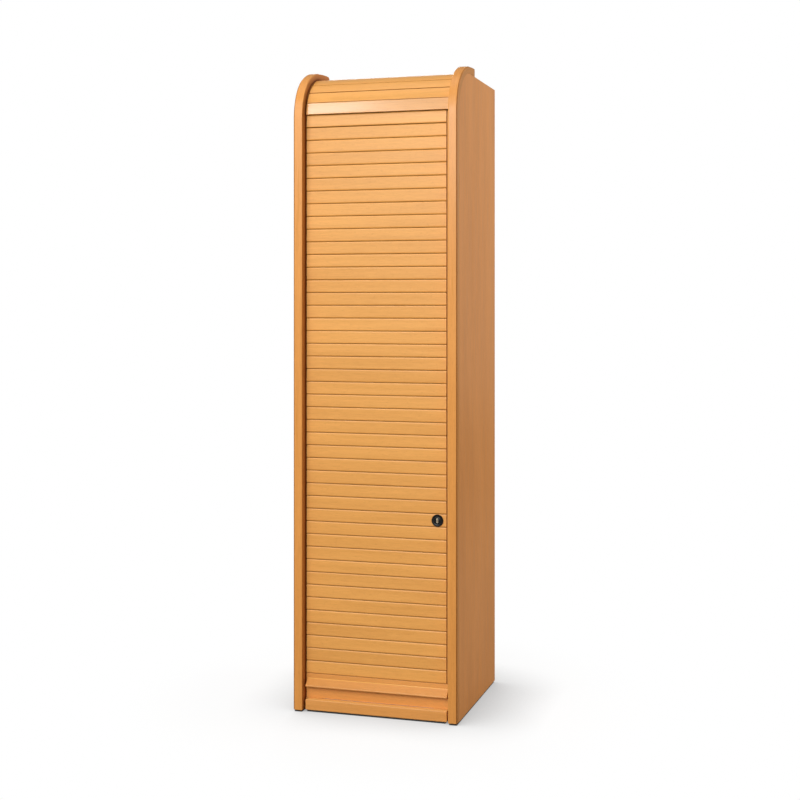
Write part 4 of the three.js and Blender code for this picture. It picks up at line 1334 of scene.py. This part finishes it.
class CABINET_OT_end_rail(bpy.types.Operator):
    """Make the end rail of the door and the grip strip on it"""

    bl_idname = "cabinet.end_rail"
    bl_label = "End rail and grip"

    shadow_height = 12 * MM
    tongue_clearance = 1 * MM
    tongue_inset = 0.6 * MM
    screw_bore = 2.4 * MM
    head_bore = 4.4 * MM
    head_depth = 2.6 * MM
    overrun = 2 * MM

    def execute(self, context):
        self.rail()
        self.grip()
        return {"FINISHED"}

    def rail(self):
        """The rail with softened edges, and tongues that run in the track. The points on its
        front carry the painted shadow under the grip."""
        size = sizes()
        low, high = END_LOW, END_HIGH
        shadow = [GRIP_LOW.z - self.shadow_height, GRIP_LOW.z, GRIP_HIGH.z]
        corners = rectangle(low.y, low.z, high.y, high.z)
        corners[1:1] = [(low.y, z, 0) for z in shadow]
        left, right = size.slat_gap_left - INNER, INNER - size.slat_gap_right / 2
        rail = prism("door_end_rail", rounded(corners, 0.6 * MM, 3), left, right, soft=0.3 * MM)
        back = CURTAIN_LOW.y + size.slat_thickness
        front = back - size.track_width + self.tongue_clearance
        corners = rectangle(front, low.z + self.tongue_inset, back, high.z - self.tongue_inset)
        outline = rounded(corners, 0.8 * MM, 2)
        combine(rail, prism("tongue", outline, low.x, high.x, soft=0.3 * MM), "UNION")
        seat = high.y - self.head_depth
        profile = [
            (self.screw_bore, low.y - self.overrun), (self.screw_bore, seat),
            (self.head_bore, seat), (self.head_bore, high.y + self.overrun),
        ]
        for i in (1, 2, 3):
            middle = node_middle(f"grip_screw_{i}")
            combine(rail, turned("bit", profile, (middle.x, middle.z), 24))
        sharpen(rail, 35)
        # Painted shadow: the front is darkened just under the grip, fading over the shadow's height
        paint_shade_and_highlight(rail, lambda point: 0.32 if point.y < low.y + HAIR
             and abs(point.z - GRIP_LOW.z) < HAIR else 0)
        settle(rail, "across", "door", "solid_beech", "end_rail")

    def grip(self):
        """The grip strip, whose front slopes down and forwards to a rounded nose."""
        low, high = GRIP_LOW, GRIP_HIGH
        upper, nose = Vector((high.y, high.z)), Vector((low.y, low.z + 7.2 * MM))
        slope = upper + (nose - upper).normalized() * 3 * MM
        corners = [
            (*upper, 0.9 * MM), (high.y, low.z, 0.9 * MM), (low.y, low.z + 4.2 * MM, 1 * MM),
            (*nose, 1 * MM), (*slope, 0),
        ]
        grip = prism("grip", rounded(corners, 0), low.x, high.x, soft=0.5 * MM, steps=3)
        # Painted highlights: the top edge and the lower front edge of the nose are painted paler
        paint_shade_and_highlight(grip, lambda point: -0.8 if point.z > high.z - 1.5 * MM
             or point.y < low.y + 0.7 * MM and point.z < low.z + 4 * MM else 0)
        settle(grip, "across", "door", "solid_beech", "grip_strip")


# Lock


class CABINET_OT_lock(bpy.types.Operator):
    """Make the lock's rosette, barrel, plug and oblong core"""

    bl_idname = "cabinet.lock"
    bl_label = "Lock"

    barrel_clearance = 0.15 * MM
    barrel_bore = 6.35 * MM
    plug_tail = 2.6 * MM
    core_clearance = 0.1 * MM
    core_length = 10.7 * MM
    core_softening = 0.15 * MM
    keyway_offset = 1.1 * MM
    keyway_depth = 9 * MM
    waist_radius = 1.1 * MM
    waist_drop = 0.6 * MM
    overrun = 2 * MM

    def execute(self, context):
        bore = BARREL_RADIUS + self.barrel_clearance
        outer = (ROSETTE_HIGH.x - ROSETTE_LOW.x) / 2
        rim = outer - sizes().rosette_rim
        front, back = ROSETTE_LOW.y, ROSETTE_HIGH.y
        self.ring("rosette", 72, [
            (bore, back), (outer - 0.2 * MM, back), (outer, back - 0.2 * MM),
            (outer, front + 1.1 * MM), (outer - 0.25 * MM, front + 0.4 * MM),
            (outer - 0.8 * MM, front), (rim + 0.3 * MM, front + 0.05 * MM),
            (rim, front + 0.3 * MM), (rim - 0.5 * MM, front + 0.75 * MM),
            (bore + 0.8 * MM, front + 0.85 * MM), (bore, front + 1.1 * MM),
        ])
        inner, outer = self.barrel_bore, BARREL_RADIUS
        front, back = BARREL_LOW.y, BARREL_HIGH.y
        self.ring("barrel", 60, [
            (inner, back), (outer, back), (outer, front + 0.9 * MM),
            (outer - 0.2 * MM, front + 0.45 * MM), (outer - 0.7 * MM, front + 0.2 * MM),
            (inner + 0.5 * MM, front + 0.2 * MM), (inner, front + 0.6 * MM),
        ])
        self.plug()
        self.core()
        return {"FINISHED"}

    def ring(self, name, sides, profile):
        """One of the rings round the plug."""
        piece = turned(name, profile, (LOCK_X, LOCK_Z), sides, hollow=True)
        settle(piece, "lock", "lock_case", "black_lock", f"lock_{name}")

    def oblong(self, name, width, height, low, high):
        """A body with half-round ends, upright, drawn out along y."""
        radius, soft = width / 2, self.core_softening
        outline = []
        for turn, rise in ((0, height / 2 - radius), (math.pi, radius - height / 2)):
            for angle in spread(turn, turn + math.pi, 16):
                z = LOCK_Z + rise + radius * math.sin(angle)
                outline.append((LOCK_X + radius * math.cos(angle), z))
        stations = [(low, inset(outline, soft)), (low + soft, outline), (high, outline)]
        return new_piece(name, *swept([[(x, y, z) for x, z in ring] for y, ring in stations]))

    def plug(self):
        """The round plug with its tail and a slot for the core."""
        size = sizes()
        front, back = PLUG_LOW.y, PLUG_HIGH.y
        shoulder, radius = BARREL_HIGH.y + 0.25 * MM, (PLUG_HIGH.x - PLUG_LOW.x) / 2
        profile = [
            (self.plug_tail, back), (self.plug_tail, shoulder), (radius, shoulder),
            (radius, front + 0.5 * MM), (radius - 0.15 * MM, front + 0.15 * MM),
            (radius - 0.5 * MM, front),
        ]
        plug = turned("plug", profile, (LOCK_X, LOCK_Z))
        room = 2 * self.core_clearance
        combine(plug, self.oblong(
            "slot", size.core_width + room, size.core_height + room, front - self.overrun,
            front + self.core_length + 3 * self.core_clearance,
        ))
        sharpen(plug, 35)
        settle(plug, "lock", "lock_core", "black_lock", "lock_plug")

    def core(self):
        """The oblong core with its keyway, which has a waist at one side."""
        size = sizes()
        front = PLUG_LOW.y + self.core_clearance
        core = self.oblong(
            "core", size.core_width, size.core_height, front, front + self.core_length
        )
        low, high = PLUG_LOW.y - self.overrun, PLUG_LOW.y + self.keyway_depth
        half, rise = size.keyway_width / 2, size.keyway_height / 2
        x = LOCK_X + self.keyway_offset
        outline = rectangle(low, LOCK_Z - rise, high, LOCK_Z + rise)
        combine(core, prism("keyway", outline, x - half, x + half))
        profile = [(self.waist_radius, low), (self.waist_radius, high)]
        centre = (LOCK_X - size.core_width / 2, LOCK_Z - self.waist_drop)
        combine(core, turned("waist", profile, centre, 16))
        sharpen(core, 35)
        settle(core, "core", "lock_core", "brass_core")


OPERATORS = [
    CABINET_OT_stage,
    CABINET_OT_finishes,
    CABINET_OT_side_boards,
    CABINET_OT_edgings,
    CABINET_OT_header_and_cover,
    CABINET_OT_plinth,
    CABINET_OT_shelves,
    CABINET_OT_back_screws,
    CABINET_OT_curtain,
    CABINET_OT_end_rail,
    CABINET_OT_lock,
]


class CABINET_PT_panel(bpy.types.Panel):
    """The cabinet's sizes, colours and steps"""

    bl_label = "Cabinet"
    bl_idname = "CABINET_PT_panel"
    bl_space_type = "VIEW_3D"
    bl_region_type = "UI"
    bl_category = "Cabinet"

    def draw(self, context):
        for group in (context.scene.cabinet_sizes, context.scene.cabinet_colours):
            box = self.layout.box()
            for name in group.__annotations__:
                box.prop(group, name)
        for operator in OPERATORS:
            self.layout.operator(operator.bl_idname)


CLASSES = [CabinetSizes, CabinetColours, *OPERATORS, CABINET_PT_panel]


def register():
    for item in CLASSES:
        bpy.utils.register_class(item)
    bpy.types.Scene.cabinet_sizes = bpy.props.PointerProperty(type=CabinetSizes)
    bpy.types.Scene.cabinet_colours = bpy.props.PointerProperty(type=CabinetColours)


def unregister():
    del bpy.types.Scene.cabinet_colours
    del bpy.types.Scene.cabinet_sizes
    for item in reversed(CLASSES):
        bpy.utils.unregister_class(item)


def main():
    register()
    for operator in OPERATORS:
        getattr(bpy.ops.cabinet, operator.bl_idname.split(".")[1])()


if __name__ == "__main__":
    main()
